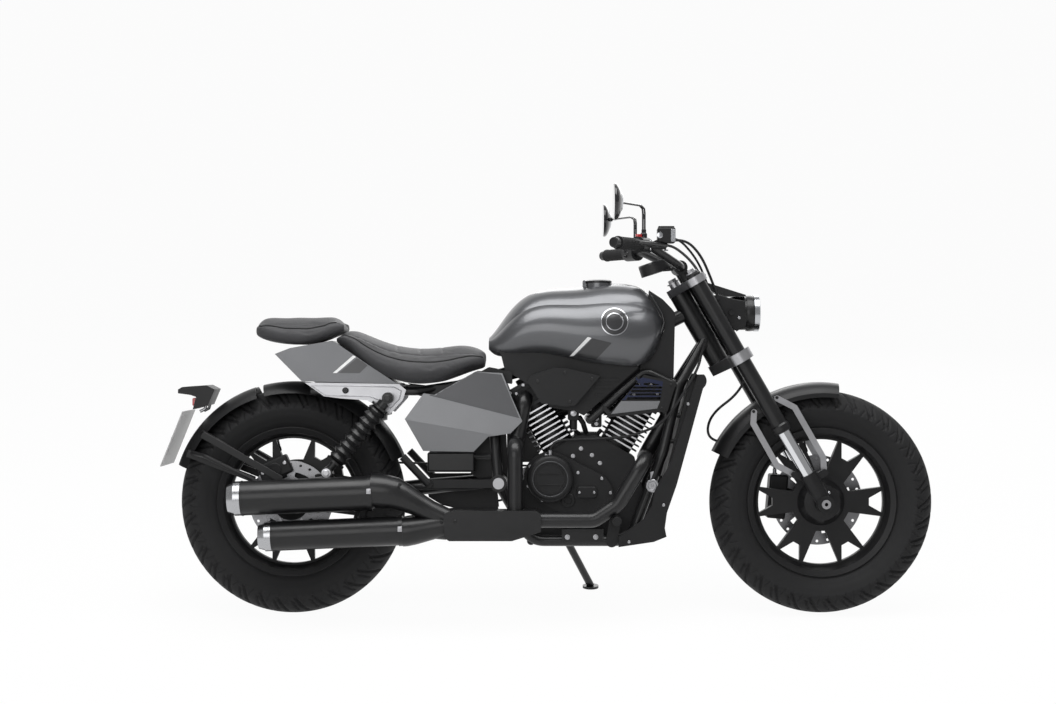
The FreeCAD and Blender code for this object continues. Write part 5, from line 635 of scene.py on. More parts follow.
class Builder:
    """Collects the points and faces of a piece made of many small solids."""

    def __init__(self):
        self.points = []
        self.faces = []

    def rings(self, rings, closed=True):
        """Skins a row of rings that have the same number of points, and closes both ends."""
        first = len(self.points)
        count = len(rings[0])
        for ring in rings:
            self.points += [tuple(p) for p in ring]
        for row in range(first, first + (len(rings) - 1) * count, count):
            for k in range(count):
                a, b = row + k, row + (k + 1) % count
                self.faces.append((a, b, b + count, a + count))
        if closed:
            last = first + (len(rings) - 1) * count
            self.faces.append(tuple(first + k for k in reversed(range(count))))
            self.faces.append(tuple(last + k for k in range(count)))

    def turned(self, profile, centre, axis, segments=24, closed=True):
        """A shape turned round an axis: the profile has distances along it and radii."""
        axis, first, second = frame_of(axis)
        centre = Vector(centre)
        ways = [first * cos(a) + second * sin(a) for a in [2 * pi * k / segments for k in range(segments)]]
        self.rings([[centre + axis * along + way * radius for way in ways] for along, radius in profile], closed)

    def hoop(self, profile, centre, axis, segments=24):
        """A turned ring, whose profile goes round to its start."""
        self.turned([*profile, profile[0]], centre, axis, segments, False)

    def tube(self, path, radius, segments=12):
        """A round bar along a row of places, with one radius or one for each."""
        path = [Vector(p) for p in path]
        rings = []
        side = None
        for k, place in enumerate(path):
            axis = (path[min(k + 1, len(path) - 1)] - path[max(k - 1, 0)]).normalized()
            side = side or frame_of(axis)[1]
            side = (side - axis * side.dot(axis)).normalized()
            other = axis.cross(side)
            here = radius[k] if isinstance(radius, (list, tuple)) else radius
            angles = [2 * pi * j / segments for j in range(segments)]
            rings.append([place + (side * cos(a) + other * sin(a)) * here for a in angles])
        self.rings(rings)

    def block(self, centre, half, corner, axes=(AHEAD, LEFT, UP)):
        """A block with rounded upright edges and a small chamfer on both ends of its second axis."""
        centre = Vector(centre)
        u, w, v = [Vector(a).normalized() for a in axes]
        outline = []
        for sx, sz, start in ((1, 1, 0), (-1, 1, 1), (-1, -1, 2), (1, -1, 3)):
            arc = circle((sx * (half[0] - corner), sz * (half[2] - corner)), corner,
                         [pi / 2 * (start + k / 4) for k in range(5)])
            outline += arc
        chamfer = min(corner, half[1]) * 0.3
        rings = []
        for along, inset in ((-half[1], chamfer), (-half[1] + chamfer, 0), (half[1] - chamfer, 0), (half[1], chamfer)):
            rings.append([
                centre + w * along
                + u * (x - copysign(min(inset, abs(x)), x)) + v * (z - copysign(min(inset, abs(z)), z))
                for x, z in outline
            ])
        self.rings(rings)

    def hexagon(self, centre, axis, radius, height):
        """A hexagon-headed bolt on a washer."""
        washer = radius * 1.35
        self.turned([(0, washer), (height * 0.22, washer), (height * 0.24, radius * 1.2)], centre, axis)
        self.turned([(0, radius), (height * 0.85, radius), (height, radius * 0.86)], centre, axis, 6)

    def socket(self, centre, axis, radius, height):
        """A round-headed bolt with a hexagonal socket."""
        outer = [(0, radius), (height * 0.8, radius), (height, radius * 0.82), (height, radius * 0.52)]
        self.turned(outer + [(height * 0.35, radius * 0.46), (height * 0.35, 0.05)], centre, axis)

    def piece(self, name, material, body="chassis", matrix=UPRIGHT, angle=35):
        return new_piece(name, self.points, self.faces, material, body, matrix, angle)


SHAPES = {
    "rings": Builder.rings, "turned": Builder.turned, "hoop": Builder.hoop, "tube": Builder.tube,
    "block": Builder.block, "hexagon": Builder.hexagon, "socket": Builder.socket,
}


def made(name, material, *steps, body="chassis", matrix=UPRIGHT, angle=35):
    """A piece of a few shapes, each with what the Builder takes for it."""
    parts = Builder()
    for shape, *values in steps:
        SHAPES[shape](parts, *values)
    return parts.piece(name, material, body, matrix, angle)


def bolts(name, places, radius, height, kind="socket", material=SATIN, **where):
    """Bolts at places given with the way that their heads face."""
    made(name, material, *[(kind, place, way, radius, height) for place, way in places], **where)


def in_plane(points, across):
    """Places at a distance across the machine, facing out."""
    return [((x, across, z), (0, copysign(1, across), 0)) for x, z in points]


def at_pixels(across, *pixels, sides=SIDES):
    """Places on both sides, from their pixels and their distance from the middle plane, facing out."""
    return [spot for side in sides for spot in in_plane(outline_px(across, pixels), side * across)]


def degrees(*angles):
    return [radians(a) for a in angles]


# Engine: bolts round the covers, a small cover on the crank's end, and the heads' covers
crank_xz = (CRANK[0], CRANK[2])
primary_ring = circle(CLUTCH, 66, degrees(100, 150, 200, 250)) + circle(crank_xz, 66, degrees(-80, -35, 10, 52))
bolts("primary_cover_bolts", in_plane(primary_ring + [(17, 428.5), (58, 408.5)], -100.3), 4.6, 4.5)
clutch_ring = circle(CLUTCH, 58.5, [k * pi / 4 + 0.3 for k in range(8)])
bolts("clutch_cover_bolts", in_plane(clutch_ring, -132), 3.8, 9)
bolts("crankcase_bolts", at_pixels(78, (552, 454), (581, 448.5), (600, 463), (573, 456), (592, 455)),
      4.4, 5, "hexagon")
made("crank_end_cover", CASTING, ("block", (83, -105, 353), (29, 5.2, 16), 9),
     ("turned", [(0, 20), (4.5, 20), (6, 18), (6, 11), (4.5, 10), (4.5, 0.1)], (30, -100, 330), RIGHT, 36))
bolts("crank_end_bolts", in_plane([(62, 353), (104, 353)], -110), 3.6, 3.4)
SIXTHS = [k * pi / 3 for k in range(6)]
bolts("alternator_bolts", in_plane(circle(crank_xz, 52, SIXTHS), 122.1), 4.2, 4)
made("alternator_ribs", CASTING, *[
    ("hoop", [(0, r), (2.4, r), (2.4, r - 3.5), (0, r - 3.5)], (85, 122.2, 340), LEFT, 48) for r in (20, 34)
])
head_parts = Builder()
head_bolts = Builder()
for lean_way in (1, -1):
    axes = moved(CRANK, lean_way * VEE_HALF)
    up, along = [axes.to_3x3() @ Vector(way) for way in (UP, AHEAD)]
    for side in SIDES:
        way = axes.to_3x3() @ Vector((0, side, 0))
        head_parts.block(axes @ Vector((0, side * 57.5, 336)), (36, 2.6, 26), 10, (along, way, up))
        head_parts.block(axes @ Vector((0, side * 59.5, 336)), (22, 2.6, 13), 7, (along, way, up))
        for x, z in ((-44, 308), (44, 308), (-44, 364), (44, 364), (0, 366)):
            head_bolts.socket(axes @ Vector((x, side * 55.9, z)), way, 5.2, 5)
        for x, z in ((-29, 318), (29, 318), (-29, 354), (29, 354)):
            head_bolts.hexagon(axes @ Vector((x, side * 60, z)), way, 3.2, 3.5)
    head_parts.turned([(0, 15), (12, 15), (13.5, 13), (13.5, 7)], axes @ Vector((0, 0, 371.8)), up)
head_parts.piece("cylinder_head_covers", CASTING)
head_bolts.piece("cylinder_head_bolts", SATIN)

# Body panels, shock absorbers, number plate and rear axle: their bolts, and a bead on the tail bracket
bolts("airbox_bolts", at_pixels(120.2, (537.5, 381.3), (565, 372.5), (592, 379), (570, 401.5)),
      4.5, 3.2, material=FRAME_BLACK)
bolts("grille_bolts", at_pixels(105.2, (638.5, 377.6), (671, 385), (661.5, 408.3), (610, 413.6)),
      3.6, 2.8, material=FRAME_BLACK)
bolts("cradle_plate_bolts", at_pixels(121.2, (567.4, 537), (595.7, 537), sides=(-1,)), 5.4, 6, "hexagon")
bolts("shroud_bolts", at_pixels(133.2, (629, 541.8), (688, 404), (663.5, 505)), 4.2, 3.2)
bolts("tail_bracket_bolts", at_pixels(123.4, (345.6, 390.4)), 9.0, 5.5, material=FRAME_BLACK)
BEAD_LINE = ((311, 385.5), (350, 385.8), (394, 387), (401.5, 391), (399.5, 399), (390.5, 408.5), (381, 400.5),
             (370, 396.5), (326, 395.5), (311, 385.5))
made("tail_bracket_beads", SATIN, *[
    ("tube", [(x, side * 123.2, z) for x, z in outline_px(123, BEAD_LINE)], 1.7, 10) for side in SIDES
])
for word, place, material in (("upper", (-478, 622), FRAME_BLACK), ("lower", (-650, 412), SATIN)):
    spots = in_plane([place], -176) + in_plane([place], 176)
    bolts(f"shock_{word}_bolts", spots, 9.5, 8, "hexagon", material)
bolts("plate_bolts", [((-3.2, side * 90, -84), BACK) for side in SIDES], 5.2, 3,
      matrix=UPRIGHT @ moved((-1062, 0, 582), 22))
made("rear_axle_nuts", SATIN, *[
    ("hoop", [(0, 17), (7, 17), (8.5, 15.5), (8.5, 5.4), (0, 5.4)], (-760, side * 149.4, 323), (0, side, 0), 6)
    for side in SIDES
])

# Wheels: bolts of the discs, a valve on each rim, and rings on the front hub
VALVE_ANGLE = 1.83
VALVE = [(-6, 4.2), (0, 4.2), (3, 3), (22, 2.6), (23, 3.6), (34, 3.6), (35, 2.6)]
for word, axle, disc_y in (("front", FRONT_AXLE, 69.2), ("rear", REAR_AXLE, -77.2)):
    body = word + "_wheel"
    middle = (axle[0], axle[2])
    bolts(word + "_disc_bolts", in_plane(circle(middle, 60, SIXTHS), disc_y), 5, 4.5, body=body)
    (x, z), = circle(middle, 183, [VALVE_ANGLE])
    inward = (-cos(VALVE_ANGLE), 0, -sin(VALVE_ANGLE))
    made(word + "_valve", "black_rubber", ("turned", VALVE, (x, 0, z), inward, 16), body=body)
made("front_hub_rings", CASTING, *[
    ("hoop", [(0, 33), (1.6, 33), (2.6, 31), (2.6, 24), (0.4, 23)], (760, side * 55.2, 319.85), (0, side, 0), 48)
    for side in SIDES
], body="front_wheel")

# Brakes: pistons and bridge bolts on both calipers
PISTON = [(0, 19), (3, 19), (4.4, 17.5), (4.4, 13), (3.2, 12.4), (3.2, 0.1)]
for word, axle, angle, radius, outer, way, body, pistons, bridge in (
    ("front", FRONT_AXLE, 85, 131, 109.1, LEFT, "fork", (-30, 30), (-52, 0, 52)),
    ("rear", REAR_AXLE, 25, 118, -97.2, RIGHT, "chassis", (0,), (-34, 34)),
):
    where = {"body": body, "matrix": UPRIGHT @ moved(axle, -angle)}
    made(word + "_caliper_pistons", CASTING,
         *[("turned", PISTON, (x, outer, radius - 14), way, 36) for x in pistons], **where)
    bolts(word + "_caliper_bolts", [((x, outer, radius - 8), way) for x in bridge], 5.4, 5, **where)

# Fork: bolts of both clamps and of the axle, top caps, dust seals and the fender stays' bolts
on_fork = {"body": "fork", "matrix": FORK}
clamp_spots = [(31, side * 76, z) for side in SIDES for z in (474.5, 489.5)] + [(28, side * 76, 734) for side in SIDES]
made("fork_clamp_bolts", SATIN, *[("socket", spot, AHEAD, 5, 6) for spot in clamp_spots],
     *[("socket", (24, side * 100, 22), AHEAD, 4.5, 5) for side in SIDES], **on_fork)
made("fork_caps", SATIN, *[
    ("turned", profile, (0, side * 100, 756.5), UP, segments)
    for side in SIDES
    for profile, segments in (([(0, 17), (4, 17), (4.6, 16)], 36), ([(4, 11), (11, 11), (12, 10)], 6))
], ("turned", [(0, 19), (3, 19), (3.5, 18)], (-52, 0, 757.2), UP, 36),
   ("turned", [(3, 14), (11, 14), (12, 12.5)], (-52, 0, 757.2), UP, 6), **on_fork)
made("fork_dust_seals", "black_rubber", *[
    ("hoop", [(0, 19.2), (0, 22.5), (5, 24.5), (6, 24.5), (6, 19.2)], (0, side * 100, 236.5), UP, 48) for side in SIDES
], **on_fork)
stay_spots = [
    spot for radius, angle in ((332, 114), (332, 127.5), (89, 90), (119, 136))
    for spot in circle((760, 319.85), radius * 0.995, degrees(angle))
]
stay_spots = [spot for place in stay_spots for side in SIDES for spot in in_plane([place], side * 81.4)]
bolts("stay_bolts", stay_spots, 4.6, 3.5, material=FRAME_BLACK, body="fork")

# Headlamp: a thin front glass, a reflector and small lamp lenses behind it
lamp_glass = made(
    "headlamp_glass", "lamp_glass",
    ("turned", [(0, 0.1), (0.7, 12), (2.9, 24), (6.6, 36), (11.5, 44.1), (35, 44.1), (35, 42), (13, 42), (8.6, 35),
                (5, 23.5), (2.8, 11), (2.2, 0.1)], LAMP, BACK, 96), body="fork")
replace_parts(lamp_glass, "headlamp_lens")
made("headlamp_reflector", STEEL,
     ("turned", [(34.6, 41.6), (18, 41.2), (18, 39.8), (31, 31), (33, 18), (34.6, 0.1)], LAMP, BACK, 96), body="fork")
spots = [(across * 21.5, 863 + row * 12.5) for row in SIDES for across in (-1, 0, 1)]
made("headlamp_modules", STEEL, *[
    step for y, z in spots for step in (
        ("block", (552, y, z), (9, 9.4, 9.4), 4, REARWARD_BLOCK),
        ("turned", [(-3, 8.2), (-1, 8.0), (1.5, 6.2), (2.8, 0.1)], (559, y, z), AHEAD),
    )
], body="fork")
made("headlamp_bar", "gloss_plastic", ("block", (551, 0, 863), (2.2, 11, 38), 2, REARWARD_BLOCK), body="fork")
made("headlamp_bezel", STEEL,
     ("hoop", [(3, 44.5), (-1.5, 46.5), (-2, 49.5), (0, 52.6), (14, 52.8), (15, 51.2), (3, 51)], LAMP, BACK, 96),
     body="fork")

# Mirrors: a domed shell with a bright cap, the glass, and a slotted arm from each switch housing
DOME = ((0.6, 46), (0, 49), (1.5, 51), (6, 50.6), (11, 46.5), (16, 38.5), (20, 28), (23, 15), (24.6, 6), (25.2, 0.1))
OVAL = 60 / 51


def ovals(centre, profile):
    """Rings of a mirror, wider than high."""
    return [[centre + Vector((along, cos(a) * radius * OVAL, sin(a) * radius))
             for a in [k * pi / 36 for k in range(72)]] for along, radius in profile]


shell_parts, cap_parts, glass_parts = Builder(), Builder(), Builder()
for side in SIDES:
    centre = Vector((147.6, side * 400, 1157))
    shell_parts.rings(ovals(centre, DOME))
    cap_parts.turned([(20.5, 26), (22.6, 24), (24.6, 16), (25.9, 6), (26.2, 0.1)], centre, AHEAD, 48)
    glass_parts.rings(ovals(centre, ((0.5, 45.8), (0.2, 45.9), (0.2, 0.1))))
    foot = Vector((237.9, side * 230, 1058))
    knee = Vector((237.9, side * 230, 1157))
    top = Vector((166, side * 370, 1157))
    near_knee = (foot * 0.08 + knee * 0.92) * 0.98 + top * 0.02
    bend = [foot, foot * 0.2 + knee * 0.8, near_knee, knee * 0.85 + top * 0.15, top]
    aside = (top - knee).cross(Vector(UP)).normalized()
    for shift in SIDES:
        shell_parts.tube([place + aside * shift * 3.1 for place in bend], 2.6, 12)
    shell_parts.turned([(0, 9.5), (14, 9.5), (16, 8), (16, 5.2)], (237.9, side * 230, 1066), UP)
    shell_parts.turned([(0, 7.4), (9, 7.4), (10, 6.2)], (237.9, side * 230, 1082), UP, 6)
    shell_parts.block(foot * 0.3 + knee * 0.7, (3.2, 5.6, 7), 2)
    shell_parts.block(top * 0.94 + knee * 0.06, (5, 6, 6), 2.4)
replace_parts(shell_parts.piece("mirror_shells", "gloss_plastic", "fork", angle=40), "mirrors")
cap_parts.piece("mirror_caps", STEEL, "fork")
glass_parts.piece("mirror_glass", "mirror_glass", "fork")

# Instrument: a bezel, a dial with marks and plain numbers, and a pointer
dial = UPRIGHT @ moved((277.3, 0, 1006.9), -18) @ Matrix.Rotation(radians(-90), 4, "Z")
ORIGIN = (0, 0, 0)
DIAL_START, DIAL_SWEEP = 225, 270
on_dial = {"body": "fork", "matrix": dial}
made("gauge_bezel", "gloss_plastic",
     ("hoop", [(0, 44), (3, 43.6), (4.2, 42), (4.2, 40), (1.0, 38.5), (0.2, 38.5)], ORIGIN, UP, 72), **on_dial)
made("gauge_face", "stripe_dark", ("turned", [(0.15, 38.4), (0.5, 38.4), (0.5, 0.1)], ORIGIN, UP, 72), **on_dial)
marks = Builder()
for k in range(41):
    angle = radians(DIAL_START - k * DIAL_SWEEP / 40)
    way = Vector((cos(angle), sin(angle), 0))
    out, half = (36.4, (1.3, 0.25, 0.28)) if k % 5 else (35.5, (2.3, 0.25, 0.5))
    marks.block(way * out + Vector((0, 0, 0.75)), half, 0.2, (way, UP, way.cross(Vector(UP))))
marks.piece("gauge_marks", "stripe_white", **on_dial)
made("gauge_pointer", "red_glass", ("turned", [(0.6, 4.2), (3.2, 4.0), (3.6, 2.6)], ORIGIN, UP, 32),
     ("block", (-8.5, -8.5, 2.2), (12.5, 0.5, 0.8), 0.4, ((1, 1, 0), UP, (1, -1, 0))), **on_dial)
for k in range(9):
    name = f"gauge_number_{k}"
    text = bpy.data.curves.new(name, "FONT")
    text.body = str(k * 20)
    text.size = 5.2
    text.align_x = text.align_y = "CENTER"
    text.extrude = 0.15
    holder = linked(name, text)
    bpy.context.view_layer.update()
    mesh = bpy.data.meshes.new_from_object(holder)
    bpy.data.objects.remove(holder)
    (x, y), = circle((0, 0), 28.6, degrees(DIAL_START - k * DIAL_SWEEP / 8))
    mesh.transform(dial @ Matrix.Translation(Vector((x, y, 0.8))))
    number = linked(name, mesh)
    dress(number, "stripe_white")
    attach(number, "fork")

# Controls: ribbed grips, switches, lever pivots, the stop switch and the reservoir's lid and sight glass
RIBS = [(24.4, 16.4), (25, 18.6), (29, 18.6)]
for start in range(31, 143, 4):
    RIBS += [(start, 16.7), (start + 0.6, 17.6), (start + 2.6, 17.6), (start + 3.2, 16.7)]
RIBS += [(145, 16.7), (145.6, 20.5), (149, 20.5), (149, 16.4)]
BAR_END = [(-0.2, 9), (-0.2, 12.5), (0.6, 14.3), (4, 14.3), (4.6, 13.6), (7, 13.6), (7.6, 14.3), (20, 14.3)]
for side, word in SIDE_WORDS:
    end = Vector((147.6, side * 400, 1047.4))
    way = Vector((sin(radians(28)), -side * cos(radians(28)), 0))
    middle = end + way * 178
    back = Vector(BACK)
    perch = Vector((299.9, side * 230, 1047.4))
    made("grip_ribs_" + word, "black_rubber", ("turned", RIBS, end, way, 40), body="fork")
    made("bar_end_ring_" + word, FRAME_BLACK, ("turned", BAR_END, end, way, 40), body="fork")
    made("switch_buttons_" + word, "gloss_plastic",
         ("block", middle + back * 22.5 + Vector((0, 0, 8)), (6, 4, 5), 2.4, REARWARD_BLOCK),
         ("block", middle + back * 23 + Vector((0, 0, -9)), (4.5, 4, 8), 2.4, REARWARD_BLOCK),
         ("turned", [(0, 5.2), (5, 5.2), (6, 4)], middle + back * 20 + way * 16, back), body="fork")
    made("lever_pivots_" + word, SATIN,
         ("turned", [(0, 9), (2.5, 9), (3.2, 8), (3.2, 4)], perch + Vector((0, 0, 11)), UP, 32),
         ("turned", [(0, 6.4), (3.5, 6.4)], perch + Vector((0, 0, -15)), UP, 6),
         *[("socket", middle + Vector((23.2, 0, z)), AHEAD, 3.4, 3) for z in (11, -11)], body="fork")
made("stop_switch", "red_glass", ("block", (223.0, -243, 1073.5), (9, 4.5, 6.5), 3, UPWARD_BLOCK), body="fork")
made("reservoir_lid", "black_plastic", ("block", (299.9, -230, 1098.6), (22, 1.8, 20), 6, UPWARD_BLOCK), body="fork")
made("reservoir_fittings", STEEL, *[("socket", (299.9 + x, -230, 1100.2), UP, 3.2, 1.6) for x in (-17, 17)],
     ("turned", [(0, 8.5), (1.4, 8.5), (1.8, 7.4)], (281, -253.1, 1075), RIGHT, 32),
     ("block", (318, -253.3, 1074), (6.2, 0.9, 17), 2), body="fork")

# Tail: the red lens, and the silver stays below it
low, high = px(193.9, 406, 60)[1], px(193.9, 398, 60)[1]
made("tail_lens", "red_glass", ("block", (px(194.0, 400, 60)[0], 0, (low + high) / 2), (6.5, 48, (high - low) / 2), 4))
x, z = px(205, 409, 40)
made("tail_stays", SATIN, *[
    ("tube", [(x + 4, side * 38, z + 16), (x, side * 38, z), (x - 14, side * 38, z - 7)], 4.5, 16) for side in SIDES
])

# Silencers: a band at each end with its bolt, and the pegs' rubbers
for word, start, end, radius in (
    ("upper", (-522, -205, 358), (-884, -205, 343), 48),
    ("lower", (-436, -205, 253), (-799, -205, 237), 41),
):
    start = Vector(start)
    length = (Vector(end) - start).length
    way = (Vector(end) - start).normalized()
    made(word + "_silencer_bands", FRAME_BLACK, *[
        ("hoop", [(near, foot), (near, top), (far, top), (far, foot)], start, way, 64)
        for near, far, foot, top in (
            (-3, 9, radius + 0.3, radius + 2), (length - 5, length - 1, radius + 0.2, radius + 1.2),
        )
    ])
    place = start + way * 3 + Vector((0, -radius - 1, 8))
    made(word + "_clamp_bolt", SATIN, ("block", place, (6, 4, 7), 1.5),
         ("hexagon", place + Vector((0, -4, 0)), RIGHT, 3.8, 4))
made("peg_rubbers", "black_rubber", *[
    ("turned", [(0, 11.2), (0.8, 13), (4.6, 13), (5.4, 11.2)], (164, side * start, 280), (0, side, 0), 28)
    for side in SIDES for start in range(151, 232, 9)
])


# Hoses and cables, each a smooth line between its two fittings
def hose(label, body, diameter, route):
    curve = bpy.data.curves.new(label, "CURVE")
    curve.dimensions = "3D"
    spline = curve.splines.new("NURBS")
    spline.points.add(len(route) - 1)
    places = [UPRIGHT @ Vector(place) for place in route]
    for point, place in zip(spline.points, places):
        point.co = (*place, 1)
    spline.order_u = 3
    spline.use_endpoint_u = True
    spline.resolution_u = 12
    piece = linked(label, curve)
    bpy.context.view_layer.update()
    line = bpy.data.meshes.new_from_object(piece)
    bpy.data.meshes.remove(line)
    curve.bevel_depth = diameter / 2
    curve.bevel_resolution = 5
    curve.use_fill_caps = True
    dress(piece, "black_rubber")
    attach(piece, body)


hose("front_brake_hose", "fork", 0.0075, [
    (312, -222, 1060), (352, -190, 1070), (405, -110, 1030), (440, -66, 960), (466, -58, 889), (497, -55, 791),
    (549, -55, 701), (520, -42, 632), (446, -15, 575), (434, 45, 515), (470, 98, 485), (590, 98, 480),
    (640, 96, 455), (640, 96, 396),
])
for label, side, diameter in (("throttle_cable", -1, 0.0065), ("left_switch_cable", 1, 0.008)):
    hose(label, "fork", diameter, [(x, side * y, z) for x, y, z in (
        (262, 238, 1054), (320, 190, 1086), (396, 80, 1022), (434, 36, 940), (456, 30, 880), (494, 30, 800),
        (494, 30, 742),
    )])
hose("clutch_cable", "chassis", 0.0075, [
    (428, -31, 786), (410, -80, 746), (398, -134, 708), (356, -141, 636), (314, -122, 569), (280, -110, 540),
    (230, -104, 520), (184, -104, 508), (63, -104, 503), (-21, -106, 500), (-21, -106, 461),
])
hose("rear_brake_hose", "chassis", 0.0075, [
    (-210, -150, 372), (-260, -158, 360), (-400, -156, 372), (-560, -152, 392), (-660, -128, 408), (-686, -104, 400),
])
made("front_hose_fitting", SATIN,
     ("turned", [(0, 8), (3, 8), (3, 6), (14, 6), (15, 5)], (640, 96, 394), UP, 20), body="fork")
made("clutch_cable_end", SATIN, ("turned", [(0, 8), (3, 8), (3, 6), (16, 6), (17, 4.4)], (-21, -106, 456), UP, 20))


# Piping round the top of each cushion, at a share of its width where it is widest
def piping(label, piece, low_x, high_x, share=0.90, radius=2.3):
    tree = tree_of(piece.data)
    down = (UPRIGHT.to_3x3() @ Vector(DOWN)).normalized()
    parts = Builder()
    for side in SIDES:
        path = []
        for k in range(61):
            x = low_x + (high_x - low_x) * k / 60
            hits = [side_hit(tree, x, z, side)[0] for z in range(640, 900, 12)]
            wide = max([abs((FROM_ROW @ hit).y) for hit in hits if hit is not None], default=0)
            hit = tree.ray_cast(UPRIGHT @ Vector((x, side * wide * share, 1200)), down)[0] if wide else None
            if hit is not None:
                path.append(FROM_ROW @ hit)
        ends = [path[0]] + path + [path[-1]]
        parts.tube([(a + b * 2 + c) / 4 for a, b, c in zip(ends, ends[1:], ends[2:])], radius, 10)
    parts.piece(label, "black_rubber", angle=60)


piping("rider_piping", rider, -612, -212)
piping("pillion_piping", pillion, -850, -628)

# Clutch cover: two raised bars on its face and a fine ring, and a thin raised bead whose paler colour is a painted
# highlight along the rim's inner edge
made("clutch_cover_bars", CASTING, *[("block", (-21, -142.2, z), (35.5, 1.6, 1.5), 1.2) for z in (377, 409)],
     ("hoop", [(0, 44.8), (1.6, 44.2), (1.6, 40.5), (0, 40)], (-21, -141.2, 393), RIGHT, 72))
# A real fine bead, with paler paint on it as a painted highlight at the rim's inner edge
made("clutch_cover_painted_highlight", "satin_dark",
     ("hoop", [(0.1, 50.6), (0.5, 50.2), (0.5, 48.9), (0.1, 48.5)], (-21, -144.2, 393), RIGHT, 72))

# Headlamp: a panel with two spacers and a bolt between each fork leg and the lamp
PANEL_SIDE = 62
panel = outline_px(PANEL_SIDE, (
    (710.5, 296.0), (717.7, 294.6), (732.9, 298.9), (745.2, 301.1), (745.9, 325.7), (736.5, 331.5), (730.7, 325.7),
    (722.0, 310.0),
))
panel_middle = sum((Vector((x, 0, z)) for x, z in panel), Vector()) / len(panel)
for side, word in SIDE_WORDS:
    rings = []
    for across, inset in ((58, 1.5), (59, 0), (62, 0), (63, 1.5)):
        corners = [Vector((x, 0, z)) for x, z in panel]
        corners = [corner + (panel_middle - corner).normalized() * inset for corner in corners]
        rings.append([(corner.x, side * across, corner.z) for corner in corners])
    spacers = [
        ("turned", [(0, 8), (4, 7), (12, 7)], place, way)
        for place, way in at_pixels(PANEL_SIDE, (731, 313), (717, 298), sides=(side,))
    ]
    made("headlamp_panel_" + word, "black_plastic", ("rings", rings), *spacers, body="fork")
    spot = px(739, 318, PANEL_SIDE)
    bolts("headlamp_bolt_" + word, in_plane([spot], side * 62.8), 4.2, 3.2, body="fork")

# Side covers: the darker field above the crease
for side, word in SIDE_WORDS:
    lay_marks(side, word, "side_covers", 134, 0.4, 6, (
        "cover_field", "satin_dark", (422, 393.6), (436.8, 397.3), (519.5, 418.3), (501.2, 374.6), (475.0, 372),
        (437.5, 387),
    ))

# Trim at the front of the tank: a rolled edge
ROLL = outline_px(81, ((649.5, 293), (656, 303), (662, 313.5), (664.2, 322), (661.5, 331), (654, 343), (645, 355.5),
                       (635.5, 367)))
for side, word in SIDE_WORDS:
    edge = [(x, side * 82.5, z) for x, z in ROLL]
    made("trim_roll_" + word, "gloss_plastic", ("tube", edge, [1.5, 2.6, 3.0, 3.2, 3.2, 3.0, 2.6, 1.5], 14))

# Between the heads: a throttle body with two elbows, and the coolant's fittings below it
CAP = [(0, 9), (9, 9), (10, 7)]
made("intake_elbows", CASTING, ("block", (85, 0, 598), (26, 30, 24), 8),
     ("turned", [(0, 20), (22, 20), (24, 24), (30, 24)], (85, 0, 618), UP, 32),
     *[step for way in SIDES for step in (
         ("tube", [(85 + way * out, 0, z) for out, z in ((20, 596), (52, 590), (84, 574), (104, 566))], 17, 24),
         ("turned", [(0, 23), (6, 23)], (85 + way * 96, 0, 569), (way, 0, -0.35), 32),
     )])
made("throttle_fittings", SATIN, ("block", (85, -36, 600), (15, 7, 17), 4),
     ("turned", CAP, (85, -42, 592), RIGHT), ("turned", CAP, (85, 42, 592), LEFT),
     *[("socket", (x, -43, 611), RIGHT, 3, 3) for x in (73, 97)])
made("coolant_fittings", CASTING, ("block", (46, -58, 573), (16, 12, 17), 5),
     ("turned", [(0, 11), (24, 11), (26, 9)], (46, -58, 556), DOWN),
     ("tube", [(62, -56, 566), (74, -50, 548), (82, -40, 522), (85, -30, 505)], 7.5, 16),
     ("tube", [(46, -52, 540), (52, -46, 526), (66, -40, 514), (88, -36, 508), (112, -40, 512), (126, -46, 528)],
      6, 16),
     ("block", (112, -46, 556), (15, 14, 20), 5), ("block", (85, -10, 512), (36, 34, 9), 4))
made("coolant_clips", SATIN, ("turned", [(0, 9), (10, 9), (11, 7.5)], (46, -70, 577), RIGHT),
     ("hexagon", (112, -60, 562), RIGHT, 5, 5), ("hexagon", (112, -60, 546), RIGHT, 4, 4),
     ("turned", [(0, 8.4), (6, 8.4)], (46, -58, 533), DOWN))

# Exhaust: a tapered joint from each silencer to the collector, from pixels with their radii
JOINTS = (
    ((370.5, 490.3, 48.4), (378, 490.8, 48.4), (386, 491.6, 47.8), (394, 493.2, 45.5), (404, 497.3, 40),
     (416, 503.5, 33.5), (430, 511, 30), (447, 519, 30)),
    ((402.5, 531.8, 41), (406, 531.6, 41.2), (414, 530.6, 39.5), (424, 528.8, 36.5), (436, 526.3, 34), (449, 524, 34)),
)
adaptors = Builder()
for joint in JOINTS:
    line = outline_px(205, [spot[:2] for spot in joint])
    adaptors.tube([(x, -205, z) for x, z in line], [spot[2] for spot in joint], 48)
adaptors.piece("exhaust_adaptors", FRAME_BLACK, angle=50)
spots = outline_px(245, ((400, 484.5), (441, 521.5), (455, 521.5)))
bolts("adaptor_bolts", in_plane(spots, -243.5), 5, 5, material=FRAME_BLACK)

